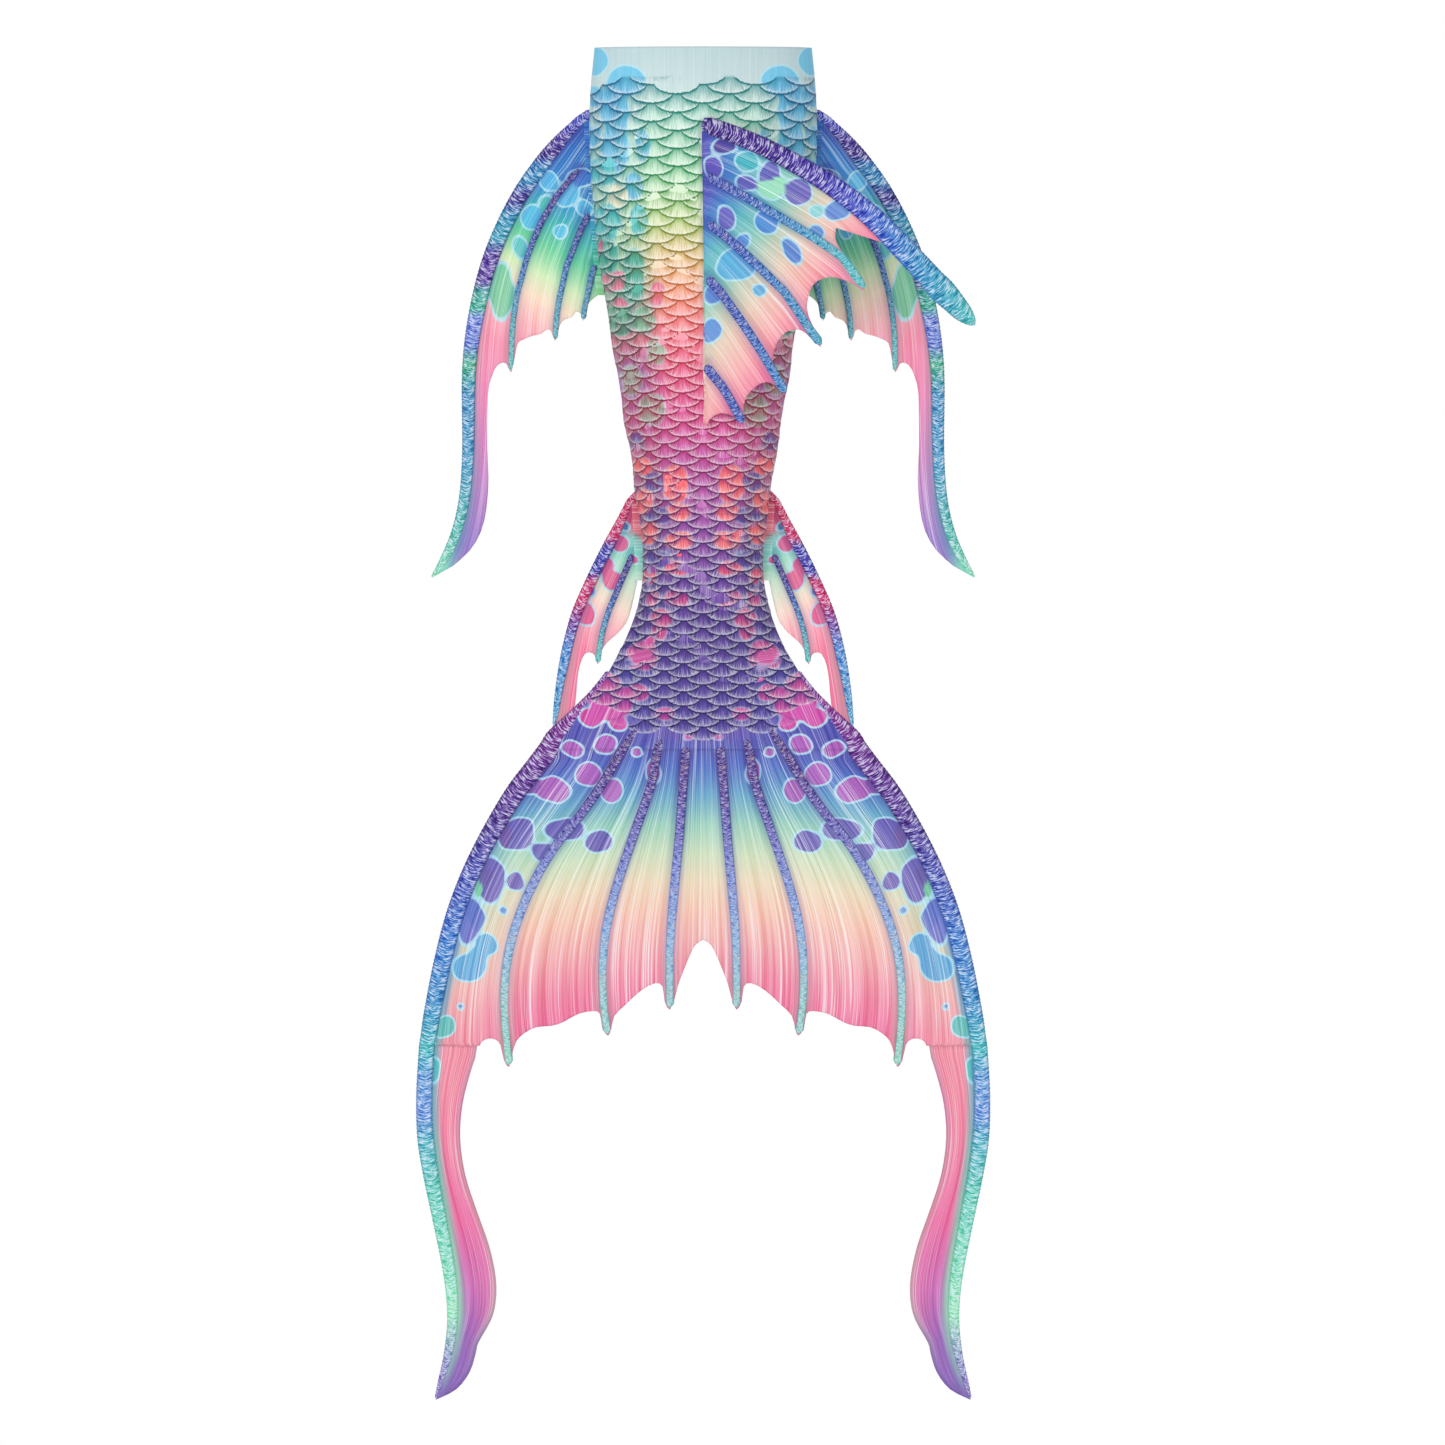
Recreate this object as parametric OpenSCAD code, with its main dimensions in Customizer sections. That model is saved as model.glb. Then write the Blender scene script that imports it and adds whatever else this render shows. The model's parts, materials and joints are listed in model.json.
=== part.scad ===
// Wearable mermaid tail: a printed stretch-fabric tube with a scalloped tail fin over a monofin,
// two hip fins, a dorsal fin and two ankle fins. Millimetres, +Z up the body, -Y the back,
// origin at the centre of the waist opening.

/* [Fabric] */
// Thickness of the printed skin
skin_t = 1.5; // [1:0.1:2]
// Thickness of a hip, dorsal or ankle fin, both fabric layers and their foam
fin_t = 3; // [2:0.5:4]
// Greatest thickness of the padded piping on a fin's leading edge
piping_t = 13; // [9:1:15]
// Height of a padded ray above the fin's face
ray_h = 4; // [2:0.5:5]

/* [Monofin] */
// Thickness of the polycarbonate blade
blade_t = 4; // [3:0.5:4]
// Half the distance between the two foot pockets' centres
foot_x = 43; // [42:1:44]
// Wall of a foot pocket
pocket_wall = 3; // [2:0.5:3.5]
// Radius of a pocket screw's shank
screw_r = 2.5; // [2:0.5:3]

/* [Waist] */
// Height of the elastic in the waist hem
elastic_h = 38; // [25:1:40]
// Height of the facing that closes the hem on the inside
facing_h = 48; // [44:1:50]

/* [Zip] */
// Half the length of the zip across the front of the tail fin
zip_half = 170; // [120:5:175]
// Pitch of the zip's teeth
tooth_pitch = 4; // [3:0.5:6]

/* [Hidden] */
$fn = 48;

// Heights where the tube is cut into rigid stretches, with a soft panel over each bend.
upper_end = -556;
lower_top = -650;
lower_end = -806;
foot_top = -858;
foot_end = -1036;

// Half thickness of the flat tail fin: half the blade, a little room, and the skin.
blade_room = 0.3;
fluke_half_t = blade_t / 2 + blade_room + skin_t;

// The tube's sections: height, half width, depth to the back, depth to the front,
// half width of the legs or feet inside, and half thickness of the flat wings beside them.
SECTIONS = [
    [0, 163, 88, 80, 163, 0],
    [-50, 168, 93, 82, 168, 0],
    [-105, 171, 95, 83, 171, 0],
    [-200, 168, 95, 82, 168, 0],
    [-330, 155, 95, 76, 155, 0],
    [-410, 141, 95, 72, 141, 0],
    [-505, 126, 95, 66, 126, 0],
    [-556, 118, 95, 63, 118, 0],
    [-600, 110, 90, 60, 110, 0],
    [-650, 103, 80, 57, 103, 0],
    [-716, 94, 70, 54, 94, 0],
    [-750, 90, 63, 52, 90, 0],
    [-780, 90, 56, 51, 90, 0],
    [-806, 92, 52, 50, 92, 0],
    [-832, 97, 50, 50, 97, 0],
    [-858, 104, 50, 50, 104, 1],
    [-891, 118, 38, 50, 110, 3],
    [-919, 132, 28, 48, 106, 4.3],
    [-947, 149, 19, 43, 102, 4.3],
    [-970, 166, 13, 41, 100, 4.3],
    [-1003, 197, 8, 26, 96, 4.3],
    [-1020, 214, 5.5, 14, 92, 4.1],
    [-1036, 230, 4.2, 4.6, 90, 3.9]
];

// Leading edges, each with the point where a tip hinges: distance from the middle, height.
FLUKE_EDGE = [[246, -1052], [272, -1084], [300, -1122], [346, -1203], [380, -1284], [402, -1365],
    [418, -1446], [426, -1497]];
TIP_EDGE = [[427, -1507], [430.5, -1570], [429, -1635], [420, -1692], [404, -1768], [389, -1845],
    [384, -1905], [389, -1958], [398, -2000], [403, -2026]];
HIP_EDGE = [[184, -101], [231, -145], [282, -213], [325, -303], [349, -393], [360, -483],
    [360, -600], [365, -675], [378, -730], [397, -772], [409, -794]];
DORSAL_EDGE = [[5, -106], [67, -128], [124, -154], [181, -186], [219, -211], [268, -250],
    [319, -302], [368, -354], [397, -394], [411, -422]];
ANKLE_EDGE = [[111, -672], [128, -706], [153, -752], [175, -797], [195, -843], [208, -888],
    [217, -933], [223, -978], [226, -1018]];

// Scalloped trailing edges, from the middle outwards. A ray's tip is a point of its own.
FLUKE_TRAIL = [[0, -1338], [12, -1346], [22, -1366], [37, -1404], [42, -1424], [50, -1443], [58, -1430],
    [61, -1408], [72, -1403], [93, -1414], [116, -1435], [133, -1452], [138, -1472], [143, -1482],
    [151, -1470], [155, -1449], [165, -1445], [187, -1449], [209, -1461], [227, -1467], [250, -1469],
    [268, -1478], [280, -1490], [286, -1508], [291, -1529], [299, -1518], [304, -1496], [311, -1488],
    [321, -1486], [331, -1490], [335, -1497]];
TIP_TRAIL = [[339, -1507], [350, -1540], [361, -1585], [364.5, -1635], [357, -1690], [340, -1743],
    [321, -1797], [311, -1845], [311, -1880], [318, -1908], [337, -1942], [341, -1958], [350, -1986],
    [370, -2012], [401, -2028]];
HIP_TRAIL = [[159, -372], [167, -378], [174, -388], [180, -410], [184, -399], [191, -396],
    [197, -404], [208, -408], [215, -416], [222, -440], [228, -425], [235, -423], [243, -429], [256, -432],
    [268, -437], [278, -443], [282, -461], [288, -487], [295, -474], [304, -473], [312, -481],
    [318, -496], [323, -520], [324, -595], [322, -645], [325, -690], [333, -725], [350, -754],
    [375, -777]];
DORSAL_TRAIL = [[5, -567], [12, -556], [28, -549], [50, -556], [59, -568], [60, -547], [65, -524],
    [85, -505], [105, -505], [124, -524], [108, -492], [104, -470], [110, -445], [124, -428],
    [141, -424], [154, -430], [177, -451], [158, -404], [156, -382], [164, -358], [179, -348],
    [199, -346], [224, -356], [242, -366], [222, -325], [205, -303], [198, -288], [199, -272]];
ANKLE_TRAIL = [[99, -800], [107, -838], [115, -862], [129, -879], [143, -891], [152, -904],
    [158, -925], [163, -911], [170, -907], [178, -910], [185, -926], [189, -950], [192, -985],
    [200, -1002], [212, -1013]];

// Centre lines of the padded rays.
FLUKE_RAYS = [
    [[26, -1056], [30, -1100], [36, -1184], [44, -1269], [50, -1353], [50, -1440]],
    [[70, -1056], [77, -1102], [96, -1158], [115, -1212], [133, -1269], [146, -1325],
        [151, -1382], [149, -1438], [143, -1479]],
    [[123, -1056], [150, -1102], [182, -1148], [215, -1188], [248, -1240], [274, -1297],
        [291, -1353], [298, -1410], [297, -1466], [291, -1526]]
];
HIP_RAYS = [
    [[184, -184], [213, -209], [242, -260], [265, -317], [280, -375], [287, -432], [288, -484]],
    [[172, -250], [196, -300], [211, -352], [220, -404], [222, -437]],
    [[162, -326], [173, -363], [180, -407]]
];
DORSAL_RAYS = [
    [[8, -196], [60, -224], [110, -253], [155, -280], [197, -308], [225, -337], [240, -363]],
    [[8, -262], [40, -291], [81, -328], [110, -357], [138, -391], [164, -428], [175, -448]],
    [[8, -344], [30, -374], [54, -407], [81, -448], [104, -486], [122, -520]],
    [[8, -474], [24, -502], [42, -532], [58, -565]]
];
ANKLE_RAY = [[104, -760], [121, -795], [140, -840], [152, -879], [158, -922]];

// Widths and thicknesses along a leading edge, as fractions of its length.
FLUKE_EDGE_W = [[0, 25], [0.5, 25], [1, 23]];
TIP_EDGE_W = [[0, 23], [0.25, 25], [0.5, 20], [0.75, 14], [0.95, 5], [1, 2]];
HIP_EDGE_W = [[0, 9], [0.12, 21], [0.4, 20], [0.6, 15], [0.85, 12], [1, 2]];
DORSAL_EDGE_W = [[0, 22], [0.5, 27], [0.8, 32], [0.93, 20], [1, 3]];
ANKLE_EDGE_W = [[0, 6], [0.2, 15], [0.7, 13], [0.92, 8], [1, 3]];
EDGE_T = [[0, 0.75], [0.2, 1], [1, 1]];
ROOTED_EDGE_T = [[0, 0.35], [0.12, 0.55], [0.25, 1], [0.75, 0.8], [1, 0.28]];
TIP_EDGE_T = [[0, 1], [0.5, 0.8], [1, 0.45]];
RAY_W = [[0, 4], [0.06, 6.5], [0.6, 6], [0.9, 4.5], [1, 2]];
THIN_RAY_W = [[0, 2.5], [0.1, 4.5], [0.7, 4.5], [0.92, 3.5], [1, 1.5]];
RAY_H = [[0, 0.3], [0.2, 0.8], [0.5, 1], [0.85, 0.85], [1, 0.35]];

steps = 4; // straight pieces between two points of an outline
hinge_y = -101.5; // the dorsal fin's seam stands this far behind the tube's middle

// ---------- curves ----------

function spline_point(a, b, c, d, t) =
    0.5 * (2 * b + (c - a) * t + (2 * a - 5 * b + 4 * c - d) * t * t + (3 * b - 3 * c + d - a) * t * t * t);

// A smooth line through every point of p.
function curve(p, n = steps) = let (last = len(p) - 1) concat(
    [for (i = [0 : last - 1], s = [0 : n - 1])
        spline_point(p[max(i - 1, 0)], p[i], p[i + 1], p[min(i + 2, last)], s / n)],
    [p[last]]);

function reversed(list) = [for (i = [len(list) - 1 : -1 : 0]) list[i]];
function tail_of(list, from) = [for (i = [from : len(list) - 1]) list[i]];

// Unit direction across a flat line at point i, to the right of its run.
function across(line, i) = let (
    d = line[min(i + 1, len(line) - 1)] - line[max(i - 1, 0)]
) [d.y, -d.x] / norm(d);

// A line beside another, at the widths that the table gives along it.
function beside(line, widths) = let (last = len(line) - 1)
    [for (i = [0 : last]) line[i] + across(line, i) * lookup(i / last, widths)];

// ---------- lofts ----------

function side_faces(n, rings, closed = false) = [
    for (i = [0 : rings - (closed ? 1 : 2)], j = [0 : n - 1])
        let (a = i * n + j, b = i * n + (j + 1) % n, up = ((i + 1) % rings - i) * n)
        each [[a, b + up, b], [a, a + up, b + up]]];

// A solid through convex rings of points, all the same count, with flat ends.
module loft(rings) {
    n = len(rings[0]);
    top = (len(rings) - 1) * n;
    ends = [for (j = [1 : n - 2]) each [[0, j, j + 1], [top, top + j + 1, top + j]]];
    polyhedron([for (r = rings) each r], concat(side_faces(n, len(rings)), ends), convexity = 6);
}

// A ring-shaped solid, whose last ring joins its first.
module closed_loft(rings) {
    polyhedron([for (r = rings) each r], side_faces(len(rings[0]), len(rings), true), convexity = 6);
}

// A curved wall: each ring runs along its outer line and back along its inner one.
module wall(rings) {
    n = len(rings[0]);
    top = (len(rings) - 1) * n;
    ends = [for (j = [0 : n / 2 - 2]) let (k = n - 1 - j) each [
        [j, j + 1, k - 1], [j, k - 1, k],
        [top + j, top + k - 1, top + j + 1], [top + j, top + k, top + k - 1]]];
    polyhedron([for (r = rings) each r], concat(side_faces(n, len(rings)), ends), convexity = 8);
}

// ---------- the tube ----------

BODY = curve(SECTIONS, 3);

function between(a, b, t) = a + (b - a) * t;

// How sharply the bulge over the feet falls off to its sides: 0.5 is an ellipse.
back_power = 1.4;
front_power = 0.6;

// The tube's section at a height.
function section_at(z) = let (
    i = [for (k = [0 : len(BODY) - 2]) if (BODY[k][0] >= z && BODY[k + 1][0] <= z) k][0],
    t = (BODY[i][0] - z) / (BODY[i][0] - BODY[i + 1][0])
) between(BODY[i], BODY[i + 1], t);

// Depth of a section at angle t from its side seam: rounded legs, or a bulge between flat wings.
function depth_at(s, side, t) = let (
    wing = s[5] * min(1, 6 * sin(t)),
    x = min(1, abs(s[1] * cos(t) / s[4])),
    power = between(0.5, side == 2 ? back_power : front_power, min(1, s[5] / 4))
) wing + (s[side] - s[5]) * pow(1 - x * x, power);

// Share of an inset that is taken off the depth at angle t: an ellipse shrinks with its half depth,
// and the flat wings shrink by the whole inset.
function inset_share(s, t) = between(sin(t), min(1, 4 * sin(t)), min(1, s[5]));

function ring_point(s, side, t, inset, z) =
    [(s[1] - inset) * cos(t), -max(0, depth_at(s, side, t) - inset * inset_share(s, t)), z];

// Half of the tube's wall at one height. Side 2 is the back, side 3 the front.
function wall_ring(z, side, thick, n = 20) = let (s = section_at(z)) concat(
    [for (j = [0 : n]) ring_point(s, side, 180 * j / n, 0, z)],
    [for (j = [n : -1 : 0]) ring_point(s, side, 180 * j / n, thick, z)]);

// A full ring of the tube's outline, taken in by a distance.
function full_ring(z, inset, n = 40) = let (s = section_at(z)) [for (j = [0 : n - 1])
    let (t = 360 * j / n, side = t <= 180 ? 2 : 3)
    [(s[1] - inset) * cos(t), -(s[side] - inset) * sin(t), z]];

module half_tube(heights, side) {
    rings = [for (z = heights) wall_ring(z, side, skin_t)];
    if (side == 2) wall(rings); else mirror([0, 1, 0]) wall(rings);
}

module waist_ring(high, low, inset, thick) {
    closed_loft([full_ring(high, inset), full_ring(low, inset),
        full_ring(low, inset + thick), full_ring(high, inset + thick)]);
}

// Heights of each stretch's rings, from its top to its bottom.
UPPER = [0, -50, -105, -150, -200, -265, -330, -370, -410, -455, -505, upper_end];
KNEE = [upper_end - 1, -580, -600, -625, lower_top + 1];
LOWER = [lower_top, -683, -716, -750, -780, lower_end];
ANKLE = [lower_end - 1, -820, -832, -845, foot_top + 1];
FOOT = [foot_top, -875, -891, -905, -919, -947, -970, -987, -1003, -1020, -1028, foot_end];

// ---------- fins ----------

// Padded piping along a leading edge. It is flat on its inner side, where the fin's fabric meets it.
module piping(outer, widths, thickness, inner_half_t) {
    last = len(outer) - 1;
    inner = beside(outer, widths);
    profile = [[0, 0], [0.3, 0.8], [0.6, 1], [0.87, 0.72], [1, 0.3]];
    rings = [for (i = [0 : last]) let (
        peak = max(inner_half_t * 1.05, piping_t / 2 * lookup(i / last, thickness)),
        half = [for (p = profile) let (
            at = inner[i] + (outer[i] - inner[i]) * p[0],
            h = p[0] == 0 ? inner_half_t : peak * p[1]
        ) [at.x, h, at.y]]
    ) concat(half, [for (p = reversed(half)) [p.x, -p.y, p.z]])];
    loft(rings);
}

// A padded ray, domed, with its flat side on one face of a fin. Side -1 is the back.
module padded_ray(points, widths, base, side) {
    line = curve(points, 2);
    last = len(line) - 1;
    dome = [[-1, 0], [-0.8, 0.6], [-0.35, 0.95], [0.35, 0.95], [0.8, 0.6], [1, 0]];
    rings = [for (i = [0 : last]) [for (p = dome) let (
        at = line[i] + across(line, i) * lookup(i / last, widths) * p[0]
    ) [at.x, -(base + ray_h * lookup(i / last, RAY_H) * p[1]), at.y]]];
    if (side < 0) loft(rings); else mirror([0, 1, 0]) loft(rings);
}

module both_faces(points, widths, base) {
    for (side = [-1, 1]) padded_ray(points, widths, base, side);
}

module flat_panel(outline, thickness, middle = 0) {
    translate([0, middle, 0]) rotate([90, 0, 0])
        linear_extrude(height = thickness, center = true) polygon(outline);
}

module left() { mirror([1, 0, 0]) children(); }

fluke_outer = curve(FLUKE_EDGE);
fluke_inner = beside(fluke_outer, FLUKE_EDGE_W);
tip_outer = curve(TIP_EDGE);
tip_inner = beside(tip_outer, TIP_EDGE_W);
hip_outer = curve(HIP_EDGE);
hip_inner = beside(hip_outer, HIP_EDGE_W);
dorsal_outer = curve(DORSAL_EDGE);
dorsal_inner = beside(dorsal_outer, DORSAL_EDGE_W);
ankle_outer = curve(ANKLE_EDGE);
ankle_inner = beside(ankle_outer, ANKLE_EDGE_W);

// The dorsal fin's fabric stops part of the way along its piping, whose end stands free.
dorsal_free_end = 22;

fluke_corner = [236, -1052]; // where the tail fin's fabric meets the tube beside its piping
half_fluke = concat(curve(FLUKE_TRAIL, 2), reversed(fluke_inner), [fluke_corner]);
fluke_outline = concat(half_fluke, [for (p = reversed(tail_of(half_fluke, 1))) [-p.x, p.y]]);
tip_outline = concat(curve(TIP_TRAIL, 3), reversed(tip_inner));
hip_outline = concat(curve(HIP_TRAIL, 2), reversed(hip_inner));
dorsal_outline = concat(curve(DORSAL_TRAIL, 2),
    reversed([for (i = [0 : dorsal_free_end]) dorsal_inner[i]]));
ankle_outline = concat(curve(ANKLE_TRAIL, 2), reversed(ankle_inner));

// ---------- tube parts ----------

module skin_upper_back() { color("aquamarine") half_tube(UPPER, 2); }
module skin_upper_front() { color("aquamarine") half_tube(UPPER, 3); }
module knee_panel_back() { color("hotpink") half_tube(KNEE, 2); }
module knee_panel_front() { color("hotpink") half_tube(KNEE, 3); }
module skin_lower_back() { color("orchid") half_tube(LOWER, 2); }
module skin_lower_front() { color("orchid") half_tube(LOWER, 3); }
module ankle_panel_back() { color("mediumpurple") half_tube(ANKLE, 2); }
module ankle_panel_front() { color("mediumpurple") half_tube(ANKLE, 3); }
module skin_foot_back() { color("slateblue") half_tube(FOOT, 2); }
module skin_foot_front() { color("slateblue") half_tube(FOOT, 3); }

gap = 0.2; // room between two layers of the hem
elastic_t = 1.2;
facing_t = 1.2;
gripper_t = 1;

module waist_elastic() {
    color("white") waist_ring(-4, -4 - elastic_h, skin_t + gap, elastic_t);
}

module waist_facing() {
    color("lightcyan") waist_ring(-1, -1 - facing_h, skin_t + 2 * gap + elastic_t, facing_t);
}

module waist_gripper() {
    color("gainsboro")
        waist_ring(-8, -20, skin_t + 3 * gap + elastic_t + facing_t, gripper_t);
}

loop_w = 20;
loop_h = 72;
ribbon_w = 5;
ribbon_t = 0.8;
loop_x = 154;

// A flat ribbon loop that hangs inside the side seam.
module hanger_loop() {
    color("white") translate([loop_x, 0, -3]) rotate([90, 0, 90])
        linear_extrude(height = ribbon_t) difference() {
            translate([-loop_w / 2, -loop_h]) square([loop_w, loop_h]);
            translate([-loop_w / 2 + ribbon_w, -loop_h + ribbon_w])
                square([loop_w - 2 * ribbon_w, loop_h - 2 * ribbon_w]);
        }
}

// ---------- monofin ----------

root_top = -895;
root_end = -1042;
blade_top = -1046;
screw_z = [-925, -985];
screw_dx = 20;
screw_clear = 0.1;
sole_t = 4;
sole_half_w = 31;
sole_l = 115;

blade_root_outline = [[76, root_top], [84, -925], [112, -950], [150, -985], [178, -1012], [198, root_end]];
blade_edge = [[206, blade_top], [262, -1125], [303, -1205], [332, -1290], [346, -1375], [346, -1424]];
blade_trail = [[0, -1300], [60, -1342], [150, -1388], [240, -1412], [320, -1432]];

module at_screws() {
    for (side = [-1, 1], z = screw_z, dx = [-screw_dx, screw_dx])
        translate([side * foot_x + dx, 0, z]) rotate([-90, 0, 0]) children();
}

module blade_root() {
    color("lightsteelblue") difference() {
        flat_panel(concat(blade_root_outline,
            [for (p = reversed(blade_root_outline)) [-p.x, p.y]]), blade_t);
        at_screws() cylinder(r = screw_r + screw_clear, h = 3 * blade_t, center = true);
    }
}

module fluke_blade() {
    half = concat(curve(blade_trail, 3), reversed(curve(blade_edge, 3)));
    color("lightsteelblue")
        flat_panel(concat(half, [for (p = reversed(tail_of(half, 1))) [-p.x, p.y]]), blade_t);
}

// A plate under each foot, which the screws hold to the blade.
module sole_plate(side) {
    color("dimgray") difference() {
        translate([side * foot_x - sole_half_w, blade_t / 2, -1000])
            cube([2 * sole_half_w, sole_t, sole_l]);
        at_screws() cylinder(r = screw_r + screw_clear, h = 6 * blade_t, center = true);
    }
}

screw_head_r = 5;
screw_head_h = 2;

module pocket_screws() {
    color("silver") at_screws() {
        translate([0, 0, -blade_t / 2]) cylinder(r = screw_r, h = blade_t + sole_t - 0.5);
        translate([0, 0, -blade_t / 2 - screw_head_h]) cylinder(r = screw_head_r, h = screw_head_h);
    }
}

// A foot pocket's sections: height, half width, rise of its instep above the sole.
POCKET = [[-1003, 27, 12], [-990, 33, 17], [-965, 36, 23.5], [-930, 36, 29.5], [-900, 36, 33],
    [-864, 36, 34]];
sole_y = blade_t / 2 + sole_t;
toe_wall = 6;

function pocket_ring(z, w, rise, inset) = [for (j = [0 : 23]) let (t = 15 * j)
    [foot_x + (w - inset) * cos(t), max(sole_y + inset, sole_y + rise * 0.42 + (rise * 0.58 - inset) * sin(t)), z]];

pin_z = -874;
pin_y = 20;
pin_r = 2;
pin_clear = 0.06;
pin_start = 34; // inside the pocket's wall

module foot_pocket() {
    outer = [for (p = POCKET) pocket_ring(p[0], p[1], p[2], 0)];
    inner = [for (p = reversed(POCKET)) pocket_ring(max(p[0], -1003 + toe_wall), p[1], p[2], pocket_wall)];
    color("darkslategray") loft(concat(outer, inner));
}

// Round pins beside each pocket's mouth, which the heel strap turns on.
module strap_pins() {
    color("silver") for (foot = [-1, 1], side = [-1, 1])
        translate([foot * foot_x + side * pin_start, pin_y, pin_z]) rotate([0, side * 90, 0])
            cylinder(r = pin_r, h = strap_in + strap_t + 0.7 - pin_start);
}

strap_in = 37;
strap_t = 3;
strap_w = 16;
strap_reach = 66;
strap_rise = 34; // how far the strap leans up towards the heel

// A strap that runs from one pin round behind the heel to the other.
module heel_strap(side) {
    outer_r = strap_in + strap_t;
    color("darkslategray") translate([side * foot_x, pin_y, pin_z]) rotate([-strap_rise, 0, 0])
        difference() {
            union() {
                for (leg = [-1, 1]) translate([leg * (strap_in + strap_t / 2), 0, 0]) {
                    rotate([0, 90, 0]) cylinder(r = strap_w / 2, h = strap_t, center = true);
                    translate([-strap_t / 2, outer_r - strap_reach, -strap_w / 2])
                        cube([strap_t, strap_reach - outer_r, strap_w]);
                }
                translate([0, outer_r - strap_reach, -strap_w / 2]) linear_extrude(height = strap_w)
                    difference() {
                        circle(r = outer_r);
                        circle(r = strap_in);
                        translate([-2 * outer_r, 0]) square([4 * outer_r, 2 * outer_r]);
                    }
            }
            rotate([0, 90, 0]) cylinder(r = pin_r + pin_clear, h = 4 * outer_r, center = true);
        }
}

// ---------- tail fin ----------

zip_z = -1080;
zip_slit = 1;
ray_low_start = -1102; // on the front the rays start under the zip

module fluke_skin_back() {
    color("lightskyblue")
        flat_panel(fluke_outline, skin_t, -fluke_half_t + skin_t / 2);
}

module fluke_skin_front() {
    color("lightskyblue") difference() {
        flat_panel(fluke_outline, skin_t, fluke_half_t - skin_t / 2);
        translate([-zip_half, 0, zip_z - zip_slit / 2]) cube([2 * zip_half, 3 * fluke_half_t, zip_slit]);
    }
}

module fluke_edge() { color("rebeccapurple") piping(fluke_outer, FLUKE_EDGE_W, EDGE_T, fluke_half_t); }
module tip_edge() { color("mediumaquamarine") piping(tip_outer, TIP_EDGE_W, TIP_EDGE_T, fluke_half_t); }
module tip_skin() { color("palevioletred") flat_panel(tip_outline, 2 * fluke_half_t); }

module fluke_ray(number) {
    points = FLUKE_RAYS[number - 1];
    color("slateblue") {
        padded_ray(points, RAY_W, fluke_half_t, -1);
        padded_ray([for (p = points) if (p.y <= ray_low_start + 2) p], RAY_W, fluke_half_t, 1);
    }
}

// ---------- zip ----------

tape_w = 13;
tape_t = 0.6;
tooth_w = 1.8;
tooth_reach = 2.5;
tooth_t = 1.4;
tape_face = fluke_half_t + tape_t;
slider_x = zip_half - 8;
slider_l = 10;
pull_pin_r = 0.8;
pull_y = tape_face + tooth_t + 3.2;

module zip_tape() {
    color("mediumpurple") for (side = [-1, 1])
        translate([-zip_half, fluke_half_t, zip_z + (side < 0 ? -tape_w - zip_slit / 2 : zip_slit / 2)])
            cube([2 * zip_half, tape_t, tape_w]);
}

module zip_teeth() {
    count = floor((2 * zip_half - 8) / tooth_pitch);
    color("plum") for (i = [0 : count - 1])
        translate([-zip_half + 4 + i * tooth_pitch, tape_face, zip_z - tooth_reach])
            cube([tooth_w, tooth_t, 2 * tooth_reach]);
}

module zip_stops() {
    color("silver") for (side = [-1, 1])
        translate([side * (zip_half - 1) - 1, tape_face, zip_z - 3]) cube([2, tooth_t + 1, 6]);
}

// A bridge over the teeth, with two ears that hold the pull's pin.
module zip_slider() {
    clear = 0.4;
    color("silver") translate([slider_x - slider_l / 2, tape_face, zip_z]) {
        translate([0, tooth_t + clear, -4.2]) cube([slider_l, 1.2, 8.4]);
        for (side = [-1, 1]) {
            translate([0, clear / 2, side * 3.7 - 0.5]) cube([slider_l, tooth_t + clear, 1]);
            translate([slider_l / 2 - 1.6, tooth_t + clear + 1, side * 2.7 - 0.5]) cube([3.2, 2.8, 1]);
        }
    }
    color("silver") translate([slider_x, pull_y, zip_z]) cylinder(r = pull_pin_r, h = 5.8, center = true);
}

// The pull tab, turned back along the closed zip.
module zip_pull() {
    eye_r = 1.5;
    color("silver") translate([slider_x, pull_y, zip_z]) difference() {
        union() {
            cylinder(r = eye_r, h = 3.8, center = true);
            translate([-24, -0.6, -1.9]) cube([24, 1.2, 3.8]);
            translate([-24, 0, 0]) rotate([90, 0, 0]) cylinder(r = 4, h = 1.2, center = true);
        }
        cylinder(r = pull_pin_r + pin_clear, h = 10, center = true);
    }
}

// ---------- small fins ----------

module hip_fin_skin() { color("turquoise") flat_panel(hip_outline, fin_t); }
module hip_fin_edge() { color("teal") piping(hip_outer, HIP_EDGE_W, ROOTED_EDGE_T, fin_t / 2); }
module hip_fin_rays() { color("indigo") for (r = HIP_RAYS) both_faces(r, THIN_RAY_W, fin_t / 2); }

module dorsal_fin_skin() { color("cornflowerblue") flat_panel(dorsal_outline, fin_t, hinge_y); }
module dorsal_fin_edge() {
    color("indigo") translate([0, hinge_y, 0])
        piping(dorsal_outer, DORSAL_EDGE_W, ROOTED_EDGE_T, fin_t / 2);
}
module dorsal_fin_rays() {
    color("teal") translate([0, hinge_y, 0])
        for (r = DORSAL_RAYS) both_faces(r, RAY_W, fin_t / 2);
}

module ankle_fin_skin() { color("lightcoral") flat_panel(ankle_outline, fin_t); }
module ankle_fin_edge() {
    color("slateblue") piping(ankle_outer, ANKLE_EDGE_W, ROOTED_EDGE_T, fin_t / 2);
}
module ankle_fin_ray() { color("steelblue") both_faces(ANKLE_RAY, THIN_RAY_W, fin_t / 2); }

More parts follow.
